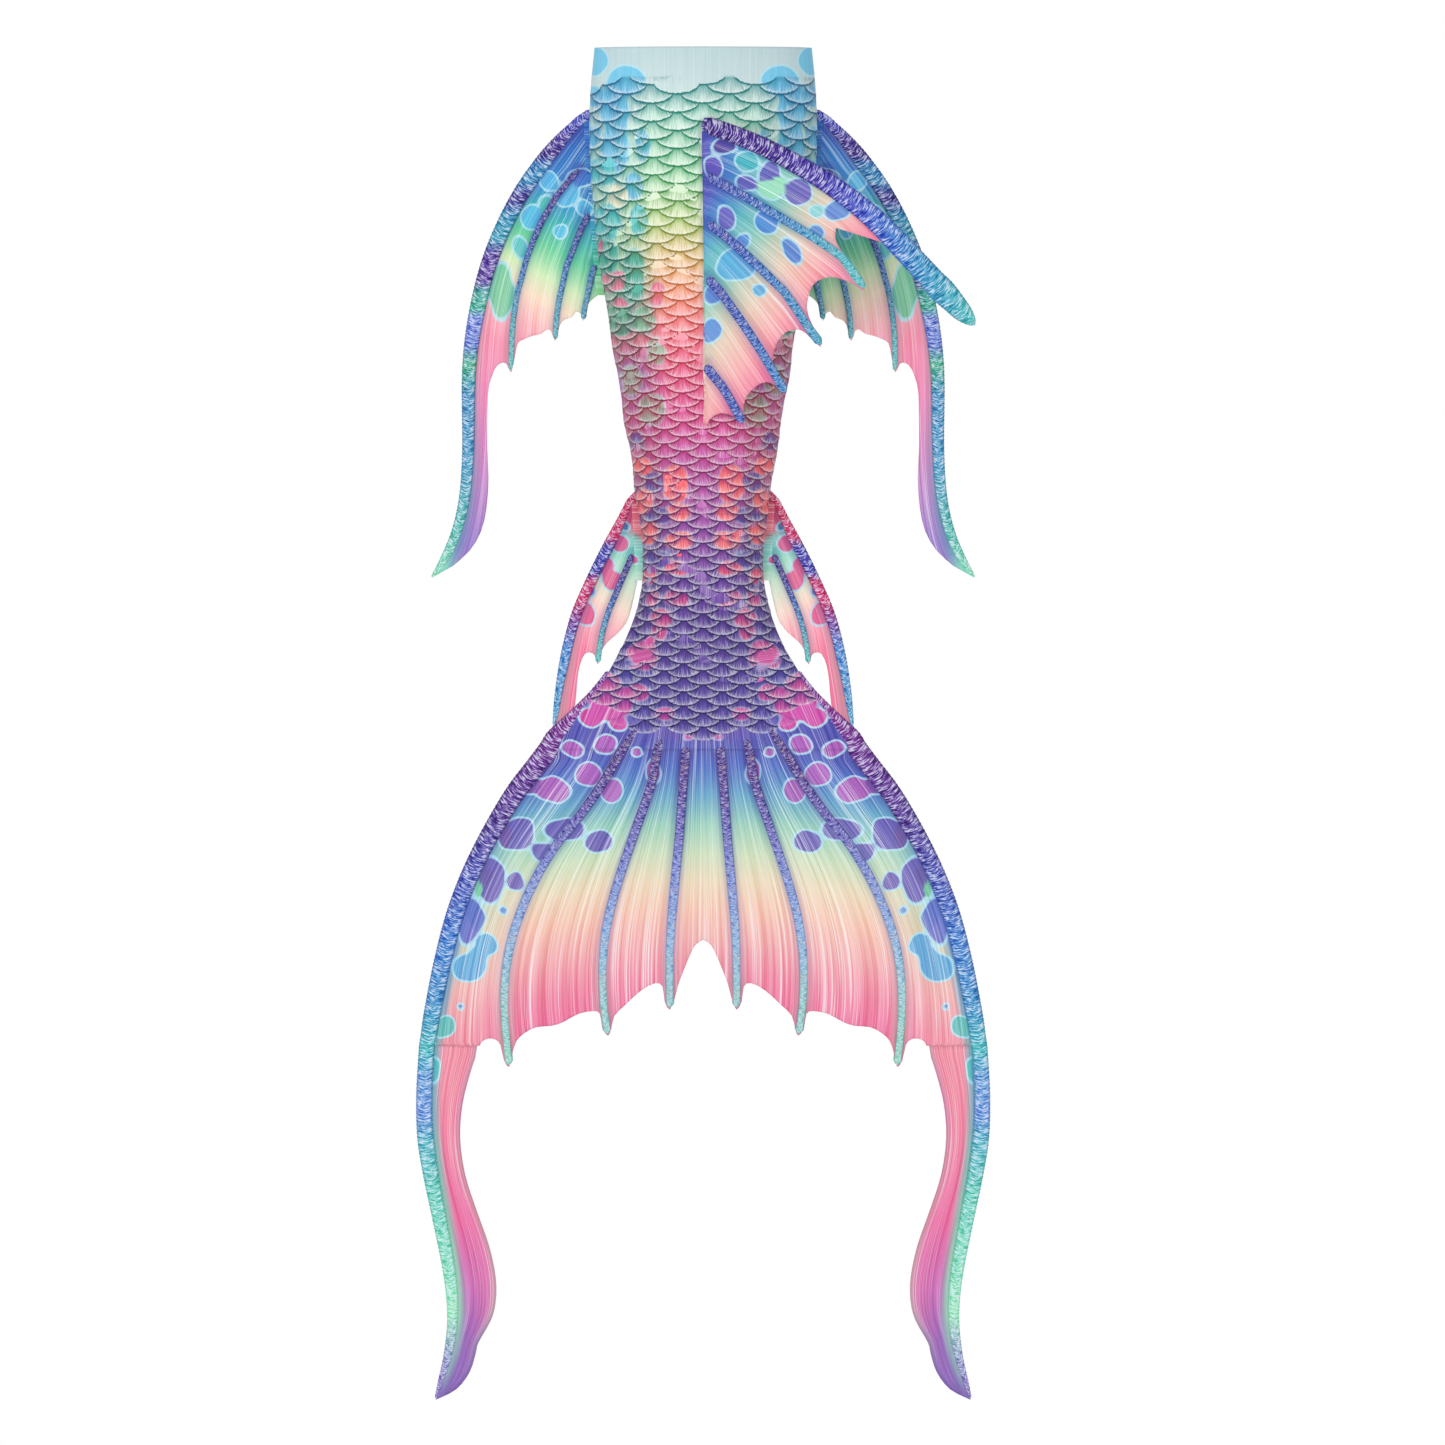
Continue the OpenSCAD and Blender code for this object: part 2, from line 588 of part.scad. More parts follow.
skin_upper_back();
skin_upper_front();
waist_elastic();
waist_facing();
waist_gripper();
left() hanger_loop();  // hanger_loop_left
hanger_loop();  // hanger_loop_right
knee_panel_back();
knee_panel_front();
skin_lower_back();
skin_lower_front();
ankle_panel_back();
ankle_panel_front();
skin_foot_back();
skin_foot_front();
blade_root();
left() foot_pocket();  // foot_pocket_left
foot_pocket();  // foot_pocket_right
sole_plate(-1);  // sole_plate_left
sole_plate(1);  // sole_plate_right
pocket_screws();
strap_pins();
heel_strap(-1);  // heel_strap_left
heel_strap(1);  // heel_strap_right
fluke_skin_back();
fluke_skin_front();
fluke_blade();
left() fluke_edge();  // fluke_edge_left
fluke_edge();  // fluke_edge_right
left() fluke_ray(1);  // fluke_ray_left_1
left() fluke_ray(2);  // fluke_ray_left_2
left() fluke_ray(3);  // fluke_ray_left_3
fluke_ray(1);  // fluke_ray_right_1
fluke_ray(2);  // fluke_ray_right_2
fluke_ray(3);  // fluke_ray_right_3
zip_tape();
zip_teeth();
zip_stops();
zip_slider();
zip_pull();
left() tip_skin();  // tip_skin_left
tip_skin();  // tip_skin_right
left() tip_edge();  // tip_edge_left
tip_edge();  // tip_edge_right
left() hip_fin_skin();  // hip_fin_skin_left
hip_fin_skin();  // hip_fin_skin_right
left() hip_fin_edge();  // hip_fin_edge_left
hip_fin_edge();  // hip_fin_edge_right
left() hip_fin_rays();  // hip_fin_rays_left
hip_fin_rays();  // hip_fin_rays_right
dorsal_fin_skin();
dorsal_fin_edge();
dorsal_fin_rays();
left() ankle_fin_skin();  // ankle_fin_skin_left
ankle_fin_skin();  // ankle_fin_skin_right
left() ankle_fin_edge();  // ankle_fin_edge_left
ankle_fin_edge();  // ankle_fin_edge_right
left() ankle_fin_ray();  // ankle_fin_ray_left
ankle_fin_ray();  // ankle_fin_ray_right
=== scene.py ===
"""Looks of a wearable mermaid tail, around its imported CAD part. Metres, +Z up the body, -Y the back."""

import json
import math

import bmesh
import bpy
import numpy as np
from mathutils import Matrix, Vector
from mathutils.geometry import delaunay_2d_cdt

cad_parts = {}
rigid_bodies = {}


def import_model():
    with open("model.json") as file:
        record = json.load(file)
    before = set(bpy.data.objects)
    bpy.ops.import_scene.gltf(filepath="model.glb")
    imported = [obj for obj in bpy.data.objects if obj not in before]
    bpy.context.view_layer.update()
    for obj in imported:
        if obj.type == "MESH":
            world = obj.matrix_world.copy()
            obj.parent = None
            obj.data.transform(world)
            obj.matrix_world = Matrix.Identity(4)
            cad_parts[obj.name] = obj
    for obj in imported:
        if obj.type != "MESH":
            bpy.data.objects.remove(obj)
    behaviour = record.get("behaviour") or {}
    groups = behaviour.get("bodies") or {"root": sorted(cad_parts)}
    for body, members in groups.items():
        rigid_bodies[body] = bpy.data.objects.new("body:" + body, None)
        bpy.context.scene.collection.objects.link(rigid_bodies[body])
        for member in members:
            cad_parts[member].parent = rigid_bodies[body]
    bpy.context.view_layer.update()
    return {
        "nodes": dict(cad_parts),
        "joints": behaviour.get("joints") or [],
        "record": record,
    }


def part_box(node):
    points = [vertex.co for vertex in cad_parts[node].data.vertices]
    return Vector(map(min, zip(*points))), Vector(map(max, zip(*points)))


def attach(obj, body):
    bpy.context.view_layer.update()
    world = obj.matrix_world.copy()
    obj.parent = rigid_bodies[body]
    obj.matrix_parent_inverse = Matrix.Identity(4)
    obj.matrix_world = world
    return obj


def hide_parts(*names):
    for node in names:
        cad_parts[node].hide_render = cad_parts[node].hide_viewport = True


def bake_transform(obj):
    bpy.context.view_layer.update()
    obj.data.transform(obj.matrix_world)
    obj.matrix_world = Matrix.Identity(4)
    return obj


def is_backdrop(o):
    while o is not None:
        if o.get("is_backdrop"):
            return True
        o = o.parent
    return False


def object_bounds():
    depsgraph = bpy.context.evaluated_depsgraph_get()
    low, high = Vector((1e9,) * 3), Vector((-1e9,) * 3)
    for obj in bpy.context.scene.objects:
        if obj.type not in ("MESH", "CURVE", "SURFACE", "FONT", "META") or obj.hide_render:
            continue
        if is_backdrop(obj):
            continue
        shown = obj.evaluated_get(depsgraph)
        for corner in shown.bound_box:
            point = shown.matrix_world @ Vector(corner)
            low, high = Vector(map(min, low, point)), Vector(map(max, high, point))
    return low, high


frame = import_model()
NODES = frame["nodes"]
MM = 0.001

# ---------- camera, light and floor ----------

VIEW_HEIGHT = 2.1675
VIEW_CENTRE = Vector((0.029, 0.0, -1.012))
VIEW_DISTANCE = 40.0
SENSOR = 36.0
LIGHTS = (  # name, place, size in metres, power in watts
    ("key", (-3.2, -4.5, 2.2), 2.5, 165),
    ("fill", (3.5, -4.0, -0.5), 3.0, 60),
    ("rim", (0.5, 3.5, 2.0), 2.5, 60),
)
WORLD_LIGHT = 0.47
FLOOR_Z, FLOOR_HALF, FLOOR_GLOW = -2.2, 3.5, 0.32


def make_camera():
    data = bpy.data.cameras.new("camera")
    data.sensor_width = SENSOR
    data.lens = SENSOR * VIEW_DISTANCE / VIEW_HEIGHT
    data.clip_end = 90
    camera = bpy.data.objects.new("camera", data)
    camera.location = VIEW_CENTRE + Vector((0, -VIEW_DISTANCE, 0))
    camera.rotation_euler = (math.pi / 2, 0, 0)
    bpy.context.scene.collection.objects.link(camera)
    bpy.context.scene.camera = camera


def add_light(name, location, size, power):
    data = bpy.data.lights.new(name, "AREA")
    data.size = size
    data.energy = power
    light = bpy.data.objects.new(name, data)
    light.location = location
    light.rotation_euler = (VIEW_CENTRE - Vector(location)).to_track_quat("-Z", "Y").to_euler()
    bpy.context.scene.collection.objects.link(light)


def make_studio():
    scene = bpy.context.scene
    scene.view_settings.view_transform = "Standard"
    world = bpy.data.worlds.new("studio")
    world.use_nodes = True
    light = world.node_tree.nodes["Background"]
    light.inputs["Strength"].default_value = WORLD_LIGHT
    light.inputs["Color"].default_value = (1, 1, 1, 1)
    surround = world.node_tree.nodes.new("ShaderNodeBackground")
    surround.inputs["Strength"].default_value = 1.0
    surround.inputs["Color"].default_value = (1, 1, 1, 1)
    seen = world.node_tree.nodes.new("ShaderNodeLightPath")
    both = world.node_tree.nodes.new("ShaderNodeMixShader")
    link = world.node_tree.links.new
    link(seen.outputs["Is Camera Ray"], both.inputs[0])
    link(light.outputs[0], both.inputs[1])
    link(surround.outputs[0], both.inputs[2])
    link(both.outputs[0], world.node_tree.nodes["World Output"].inputs["Surface"])
    scene.world = world
    for lamp in LIGHTS:
        add_light(*lamp)
    # A pale floor below the tail. The white surround is the backdrop.
    corners = [(x * FLOOR_HALF, y * FLOOR_HALF, FLOOR_Z) for x, y in ((-1, -1), (1, -1), (1, 1), (-1, 1))]
    floor = new_object("floor", corners, [(0, 1, 2, 3)])
    paper = plain_material("floor_paper", (0.95, 0.95, 0.95), 0.9, variation=0.0)
    glow = paper.node_tree.nodes["Principled BSDF"]
    glow.inputs["Emission Color"].default_value = (1, 1, 1, 1)
    glow.inputs["Emission Strength"].default_value = FLOOR_GLOW
    floor.data.materials.append(paper)
    floor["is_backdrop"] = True


# ---------- small helpers ----------


def linear(rgb):
    """Display colours as the linear values that shaders use."""
    c = np.asarray(rgb, float)
    return np.where(c <= 0.04045, c / 12.92, ((c + 0.055) / 1.055) ** 2.4)


def smooth(t):
    t = np.clip(t, 0, 1)
    return t * t * (3 - 2 * t)


def new_object(name, points, faces):
    mesh = bpy.data.meshes.new(name)
    mesh.from_pydata([tuple(map(float, p)) for p in points], [], [tuple(map(int, f)) for f in faces])
    mesh.validate()
    mesh.shade_smooth()
    obj = bpy.data.objects.new(name, mesh)
    bpy.context.scene.collection.objects.link(obj)
    return obj


def tidy_normals(obj):
    bm = bmesh.new()
    bm.from_mesh(obj.data)
    bmesh.ops.recalc_face_normals(bm, faces=bm.faces)
    bm.to_mesh(obj.data)
    bm.free()
    obj.data.shade_smooth()


def give(obj, name, values):
    """Stores one value, or one colour, for each of the mesh's points."""
    values = np.asarray(values, np.float32)
    kind = "FLOAT" if values.ndim == 1 else "FLOAT_COLOR"
    attribute = obj.data.attributes.new(name, kind, "POINT")
    if values.ndim == 1:
        attribute.data.foreach_set("value", values)
    else:
        rgba = np.ones((len(values), 4), np.float32)
        rgba[:, :3] = values
        attribute.data.foreach_set("color", rgba.ravel())


def ramp(x, stops):
    """Colours along a line. stops lists, in rising order, each stop's place in millimetres and then its
    display colour in hundredths of red, green and blue."""
    rows = np.array([stop.split() for stop in stops.split(",")], float)
    return np.stack([np.interp(x, rows[:, 0] / 1000, rows[:, k] / 100) for k in (1, 2, 3)], 1)


def blobs(x, z, spots, back, wobble=0.0016):
    """Signed distance to the nearest spot's edge, in metres, and that spot's colour.
    A spot is (x, z, half width, half height, colour[, tilt in degrees]) in millimetres."""
    best = np.full(len(x), 1.0)
    colour = np.tile(np.asarray(back, float), (len(x), 1))
    wx = x + wobble * np.sin(110 * z + 60 * x) + 0.3 * wobble * np.sin(260 * z + 1.3)
    wz = z + wobble * np.sin(100 * x + 40 * z + 0.7) + 0.3 * wobble * np.sin(240 * x)
    for cx, cz, rx, rz, rgb, *tilt in spots:
        a = math.radians(tilt[0]) if tilt else 0.0
        dx, dz = wx - cx * MM, wz - cz * MM
        u, v = dx * math.cos(a) + dz * math.sin(a), dz * math.cos(a) - dx * math.sin(a)
        d = (np.hypot(u / (rx * MM), v / (rz * MM)) - 1) * min(rx, rz) * MM
        near = d < best
        colour[near] = rgb
        k = 0.006
        h = np.clip(0.5 + 0.5 * (best - d) / k, 0, 1)
        best = best * (1 - h) + d * h - k * h * (1 - h)
    return best, colour


# ---------- materials ----------


class Net:
    """Builds one material's nodes with short calls. A value is a number, a tuple or a socket."""

    def __init__(self, name):
        self.material = bpy.data.materials.new(name)
        self.material.use_nodes = True
        self.tree = self.material.node_tree
        self.shader = self.tree.nodes["Principled BSDF"]

    def put(self, socket, value):
        if isinstance(value, bpy.types.NodeSocket):
            self.tree.links.new(value, socket)
        else:
            socket.default_value = value

    def math(self, operation, a, b=0.0, c=0.0, clamp=False):
        node = self.tree.nodes.new("ShaderNodeMath")
        node.operation = operation
        node.use_clamp = clamp
        for socket, value in zip(node.inputs, (a, b, c)):
            self.put(socket, value)
        return node.outputs[0]

    def add(self, a, b):
        return self.math("ADD", a, b)

    def sub(self, a, b, clamp=False):
        return self.math("SUBTRACT", a, b, clamp=clamp)

    def mul(self, a, b):
        return self.math("MULTIPLY", a, b)

    def div(self, a, b):
        return self.math("DIVIDE", a, b)

    def mul_add(self, a, b, c):
        return self.math("MULTIPLY_ADD", a, b, c)

    def abs(self, a):
        return self.math("ABSOLUTE", a)

    def step(self, x, low, high):
        """0 below low, 1 above high, smooth between."""
        node = self.tree.nodes.new("ShaderNodeMapRange")
        node.interpolation_type = "SMOOTHSTEP"
        for socket, value in zip(node.inputs[:5], (x, low, high, 0.0, 1.0)):
            self.put(socket, value)
        return node.outputs[0]

    def value(self, name, part="Fac"):
        node = self.tree.nodes.new("ShaderNodeAttribute")
        node.attribute_name = name
        return node.outputs[part]

    def mix(self, share, a, b, blend="MIX"):
        node = self.tree.nodes.new("ShaderNodeMix")
        node.data_type = "RGBA"
        node.blend_type = blend
        self.put(node.inputs["Factor"], share)
        for socket, value in ((node.inputs[6], a), (node.inputs[7], b)):
            self.put(socket, (*value, 1) if isinstance(value, tuple) and len(value) == 3 else value)
        return node.outputs[2]

    def pick(self, share, a, b):
        node = self.tree.nodes.new("ShaderNodeMix")
        for socket, value in zip(node.inputs[:1] + node.inputs[2:4], (share, a, b)):
            self.put(socket, value)
        return node.outputs[0]

    def join(self, x, y, z=0.0):
        node = self.tree.nodes.new("ShaderNodeCombineXYZ")
        for socket, value in zip(node.inputs, (x, y, z)):
            self.put(socket, value)
        return node.outputs[0]

    def noise(self, vector, scale=1.0, detail=2.0):
        node = self.tree.nodes.new("ShaderNodeTexNoise")
        self.put(node.inputs["Vector"], vector)
        node.inputs["Scale"].default_value = scale
        node.inputs["Detail"].default_value = detail
        return node.outputs["Fac"]

    def bump(self, height, strength=0.5, distance=0.0008):
        node = self.tree.nodes.new("ShaderNodeBump")
        self.put(node.inputs["Height"], height)
        node.inputs["Strength"].default_value = strength
        node.inputs["Distance"].default_value = distance
        self.put(self.shader.inputs["Normal"], node.outputs[0])

    def finish(self, colour, roughness=0.6, sheen=0.0, metallic=0.0):
        self.put(self.shader.inputs["Base Color"], colour)
        self.put(self.shader.inputs["Roughness"], roughness)
        self.shader.inputs["Sheen Weight"].default_value = sheen
        self.shader.inputs["Metallic"].default_value = metallic
        self.shader.inputs["Specular IOR Level"].default_value = 0.25
        return self.material


def plain_material(name, rgb, roughness, variation=0.06, metallic=0.0, grain=120.0):
    """A plain moulded, woven or metal surface with a little unevenness."""
    net = Net(name)
    coordinates = net.tree.nodes.new("ShaderNodeTexCoord").outputs["Object"]
    cloud = net.noise(coordinates, grain, 3.0)
    base = tuple(linear(rgb))
    dark = tuple(c * (1 - 4 * variation) for c in base)
    colour = net.mix(cloud, dark, tuple(min(1.0, c * (1 + 2 * variation)) for c in base))
    rough = net.pick(cloud, roughness * 0.85, min(1.0, roughness * 1.15))
    net.bump(net.noise(coordinates, grain * 8, 2.0), 0.2, 0.0004)
    return net.finish(colour, rough, metallic=metallic)


SCALE_HALF = 0.875  # half a scale's width, in columns
SCALE_RISE = 0.62  # how far a rim rises to its corners, in rows


def row_pitch(z):
    return np.interp(z, [-0.60, -0.05], [0.0212, 0.028])


ROW_Z = np.linspace(0, -1.5, 1501)
ROW_V = np.concatenate([[0], np.cumsum(0.001 / row_pitch(ROW_Z[1:]))])


def row_at(z):
    return np.interp(-z, -ROW_Z, ROW_V)


TOP_ROW = float(row_at(-0.066))  # the first rims, below the waistband
END_ROW = float(row_at(-1.050))  # the last rim, in the middle
VEE_RISE = 0.19  # how fast the last rims rise to the sides, in rows


def printed_colour(net):
    """Base print with its spots and their light outlines."""
    edge = net.value("sdf")
    inside = net.step(edge, 0.0012, -0.0012)
    colour = net.mix(net.mul(inside, 0.86), net.value("base", "Color"), net.value("spot", "Color"))
    rim = net.sub(1.0, net.step(net.abs(edge), 0.0006, 0.0024))
    return net.mix(net.mul(rim, net.value("outline")), colour, tuple(linear((0.74, 0.90, 0.94))))


def fin_lines(net, colour, lines):
    """Fine pleat lines that fan out, as painted shade, and silky white streaks, as painted highlights. lines
    is their strength.
    """
    fan, along = net.value("fan"), net.value("along")

    def lines_at(across, length):
        return net.noise(net.join(net.mul(fan, across), net.mul(along, length)), 1.0, 1.0)

    fine, finer, broad = lines_at(30.0, 2.5), lines_at(75.0, 4.0), lines_at(7.0, 2.0)
    # painted shade: darker, more saturated lines along the fine pleats
    deep = net.mix(1.0, colour, colour, "MULTIPLY")
    c = net.mix(net.mul(net.step(fine, 0.50, 0.64), net.mul(lines, 0.50)), colour, deep)
    c = net.mix(net.mul(net.step(finer, 0.53, 0.66), net.mul(lines, 0.50)), c, deep)
    c = net.mix(net.mul(net.step(broad, 0.50, 0.75), net.mul(lines, 0.30)), c, deep)
    # painted highlights: white streaks between the pleat lines
    glow = net.mul(net.step(finer, 0.44, 0.36), net.step(broad, 0.55, 0.42))
    c = net.mix(net.mul(glow, net.mul(lines, 0.50)), c, (0.96, 0.98, 0.97))
    c = net.mix(net.mul(net.step(fine, 0.36, 0.28), net.mul(lines, 0.45)), c, (0.96, 0.98, 0.97))
    return c, fine, finer, deep


def scale_material():
    """Printed scales on stretch fabric: fan shapes with frilled pale rims, and a line of painted shade under
    each rim.
    """
    net = Net("scale_print")
    pu, pv = net.value("pu"), net.value("pv")
    frill = net.noise(net.join(net.mul(pu, 9.0), net.mul(pv, 6.0)), 1.0, 2.0)
    pv_frilled = net.add(pv, net.mul_add(frill, 0.16, -0.08))
    centre = net.math("ROUND", pu)
    best, most, side, row = None, None, None, None
    for step in (-1, 0, 1):
        column = net.add(centre, float(step))
        dx = net.div(net.sub(pu, column), SCALE_HALF)
        arc = net.math("SQRT", net.math("MAXIMUM", net.sub(1.0, net.mul(dx, dx)), 0.0))
        rise = net.mul(net.sub(1.0, arc), SCALE_RISE)
        stagger = net.mul(net.math("FLOORED_MODULO", column, 2.0), 0.5)
        v = net.add(net.sub(pv_frilled, stagger), rise)
        above = net.sub(net.math("CEIL", v), v)
        outside = net.math("GREATER_THAN", net.abs(dx), 1.0)
        d = net.mul_add(outside, 9.0, above)
        below = net.mul(above, net.sub(1.0, outside))
        place = net.add(net.add(pv_frilled, rise), above)
        if best is None:
            best, most, side, row = d, below, dx, place
        else:
            first = net.math("LESS_THAN", d, best)
            side, row = net.pick(first, side, dx), net.pick(first, row, place)
            best, most = net.math("MINIMUM", best, d), net.math("MAXIMUM", most, below)
    under = net.sub(1.0, most)  # distance below the rim above
    column = net.sub(pu, net.mul(side, SCALE_HALF))
    random = net.noise(net.join(net.mul(row, 3.7), net.mul(column, 5.3)), 1.0, 0.0)
    loose = net.mul_add(random, 5.0, -2.5)
    # whole scales are left out raggedly under the waistband and along the V above the tail fin
    shown = net.step(net.add(row, loose), TOP_ROW - 0.02, TOP_ROW + 0.02)
    vee = net.mul(net.math("POWER", net.abs(column), 1.5), VEE_RISE)
    shown = net.mul(shown, net.step(net.add(row, vee), END_ROW + 0.03, END_ROW - 0.03))
    scaly = net.mul(net.mul(shown, net.value("outside")), net.step(pv, 1.5, 1.7))
    fan = net.div(side, net.mul_add(best, -0.55, 1.15))
    ribs = net.noise(net.join(net.mul(fan, 26.0), net.mul(best, 1.2), row), 1.0, 1.0)
    dots = net.noise(net.join(net.mul(fan, 26.0), net.mul(best, 12.0), row), 1.0, 1.0)
    colour = printed_colour(net)
    shade = net.value("shade", "Color")
    deep = net.mix(1.0, shade, colour, "MULTIPLY")
    vivid = net.mix(1.0, colour, colour, "MULTIPLY")

    def paint(base, amount, strength, over):
        return net.mix(net.mul(net.mul(amount, scaly), strength), base, over)

    # the top of each scale lies in shadow, its lower part is paler with fine ribs and a frilled rim
    dark = net.math("POWER", net.sub(1.0, net.div(under, 0.75), clamp=True), 1.6)
    c = paint(paint(colour, 1.0, 0.35, vivid), dark, 0.95, net.mix(0.40, shade, deep))
    c = paint(c, net.step(ribs, 0.50, 0.66), 0.42, deep)
    c = paint(c, net.mul(net.step(ribs, 0.47, 0.36), net.step(best, 0.75, 0.1)), 0.32, (0.97, 0.99, 0.98))
    c = paint(c, net.step(best, 0.42, 0.08), 0.08, (1.0, 1.0, 1.0))
    edge = net.step(net.add(best, net.mul(dots, 0.14)), 0.27, 0.12)
    speck = net.mul(edge, net.step(dots, 0.42, 0.56))
    c = paint(c, speck, 0.40, (0.96, 0.98, 0.98))
    # painted shade: a dark, saturated line just under the rim above, where the overlapping rim casts its
    # shadow
    rim_shadow = net.step(under, 0.15, 0.07)
    line = net.mix(0.5, shade, net.mix(1.0, deep, vivid, "MULTIPLY"))
    c = paint(c, rim_shadow, 0.92, net.mix(1.0, line, (0.72, 0.76, 0.82), "MULTIPLY"))
    bare = net.sub(1.0, scaly)
    strength = net.mul_add(net.step(net.value("along"), -0.5, -0.6), 0.65, 0.35)
    plain, *_ = fin_lines(net, colour, strength)
    c = net.mix(bare, c, plain)
    height = net.add(net.mul(ribs, scaly), net.mul(edge, 0.8))
    net.bump(height, 0.35, 0.0006)
    rough = net.pick(speck, 0.62, 0.4)
    return net.finish(c, rough, sheen=0.15)


def fin_material(name):
    """Printed fin fabric, with painted shade beside its rays and pipings: darker and more saturated there.
    """
    net = Net(name)
    colour = printed_colour(net)
    c, fine, finer, deep = fin_lines(net, colour, 1.0)
    # painted shade beside the rays and pipings: a darker, more saturated colour tinted towards the ray's own
    # colour
    near = net.value("nearray")
    c = net.mix(net.mul(near, 0.75), c, net.mix(0.38, deep, net.value("ray_shade_colour", "Color")))
    net.bump(net.add(fine, net.mul(finer, 0.6)), 0.4, 0.0007)
    return net.finish(c, net.pick(fine, 0.45, 0.65), sheen=0.2)


def piping_material(name, gold=0.0):
    """Padded piping in a coarse printed knit: short light dashes in a herringbone, and painted shade along
    both flanks.
    """
    net = Net(name)
    run, turn = net.value("run"), net.value("turn")
    colour = net.value("base", "Color")
    middle = net.abs(net.sub(turn, 0.5))
    leaning = net.mul_add(middle, 3.2, net.mul(run, 700.0 if gold else 420.0))
    strokes = net.noise(net.join(leaning, net.mul(turn, 1.9)), 1.0, 1.0)
    grain = net.noise(net.join(net.mul(leaning, 1.7), net.mul(turn, 6.0)), 1.0, 1.0)
    tone = net.mul_add(grain, 0.35, net.mul(strokes, 0.65))
    dashes = net.step(tone, 0.51, 0.59)
    deep = net.mix(1.0, colour, colour, "MULTIPLY")
    c = net.mix(net.step(tone, 0.49, 0.41), colour, deep)
    c = net.mix(net.mul(dashes, 0.40 if gold else 0.62), c, (0.78, 0.82, 0.95))
    if gold:
        fleck = net.step(net.noise(net.join(net.mul(run, 110.0), turn, 3.0), 1.0, 1.0), 0.58, 0.66)
        c = net.mix(net.mul(net.mul(fleck, dashes), gold), c, tuple(linear((0.86, 0.72, 0.5))))
    # painted shade: darker towards both flanks, where the tube's surface turns away from the front
    side = net.step(net.abs(net.sub(turn, 0.5)), 0.30, 0.5)
    c = net.mix(net.mul(side, 0.6), c, deep)
    net.bump(tone, 0.7, 0.0012)
    return net.finish(c, net.pick(dashes, 0.65, 0.45), sheen=0.1)


# ---------- reading shapes from the CAD nodes ----------


def mesh_arrays(node):
    mesh = NODES[node].data
    co = np.array([v.co for v in mesh.vertices], float).reshape(-1, 3)
    tri = []
    for p in mesh.polygons:
        v = list(p.vertices)
        tri += [(v[0], v[k], v[k + 1]) for k in range(1, len(v) - 1)]
    return co, np.array(tri)


def cap_outline(node, back=True):
    """The outline of a flat panel, as an ordered ring of (x, z)."""
    co, tri = mesh_arrays(node)
    key = {}
    index = np.array([key.setdefault((round(p[0], 6), round(p[1], 6), round(p[2], 6)), len(key))
                      for p in co])
    place = np.array(list(key.keys()))
    tri = index[tri]
    y = place[:, 1].min() if back else place[:, 1].max()
    flat = tri[(np.abs(place[tri][:, :, 1] - y) < 1e-5).all(1)]
    count = {}
    for t in flat:
        for a, b in ((t[0], t[1]), (t[1], t[2]), (t[2], t[0])):
            count[(a, b)] = count.get((a, b), 0) + 1
    following = {a: b for (a, b) in count if (b, a) not in count}
    start = next(iter(following))
    ring, at = [start], following[start]
    while at != start and len(ring) < 5000:
        ring.append(at)
        at = following[at]
    return place[ring][:, [0, 2]]


def chords(node, levels, axis, side):
    """Slices a node at levels along x or z: the two ends of each slice on the other axis, or None.
    side -1 takes the back part only."""
    co, tri = mesh_arrays(node)
    other = 2 - axis
    out = []
    tri = tri[(co[tri][:, :, 1] * side >= -1e-6).all(1)] if side else tri
    p = co[tri]
    for level in levels:
        found = []
        for a, b in ((0, 1), (1, 2), (2, 0)):
            da, db = p[:, a, axis] - level, p[:, b, axis] - level
            cross = da * db < 0
            t = da[cross] / (da[cross] - db[cross])
            found.append(p[cross, a] + (p[cross, b] - p[cross, a]) * t[:, None])
        found = np.concatenate(found)
        out.append((found[:, other].min(), found[:, other].max()) if len(found) else None)
    return out


def centre_line(node, axis, step=0.006, side=0):
    """Points (x, z) down the middle of a node, and its half widths there."""
    low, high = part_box(node)
    span = np.arange(low[axis] + 0.0008, high[axis], step)
    if axis == 2:
        span = span[::-1]
    rows = [(s, c) for s, c in zip(span, chords(node, span, axis, side)) if c]
    pts = np.array([[s, (c[0] + c[1]) / 2] if axis == 0 else [(c[0] + c[1]) / 2, s] for s, c in rows])
    half = np.array([(c[1] - c[0]) / 2 for s, c in rows])
    run = np.gradient(pts, axis=0)
    lean = np.abs(run[:, 0 if axis == 0 else 1]) / np.maximum(np.hypot(run[:, 0], run[:, 1]), 1e-9)
    return pts, np.maximum(half * lean, 0.0006)


def islands(node):
    """Splits a node that holds several solids into separate vertex groups, as arrays of points."""
    co, tri = mesh_arrays(node)
    key = {}
    index = np.array([key.setdefault(tuple(np.round(p, 5)), len(key)) for p in co])
    place = np.array(list(key.keys()))
    parent = list(range(len(place)))

    def find(a):
        while parent[a] != a:
            parent[a] = parent[parent[a]]
            a = parent[a]
        return a

    for t in index[tri]:
        for b in t[1:]:
            parent[find(b)] = find(t[0])
    roots = {}
    for k in range(len(place)):
        roots.setdefault(find(k), []).append(k)
    return [place[g] for g in roots.values()]


# ---------- the tube ----------

CLOTH_THICK = 0.0012
TUBE_NODES = ["skin_upper", "knee_panel", "skin_lower", "ankle_panel", "skin_foot"]
FLUKE_TOP = -1.052
FLUKE_TOP_HALF = 0.2375  # half the seam's width there
FLUKE_HALF = 0.0038  # half the tail fin's thickness


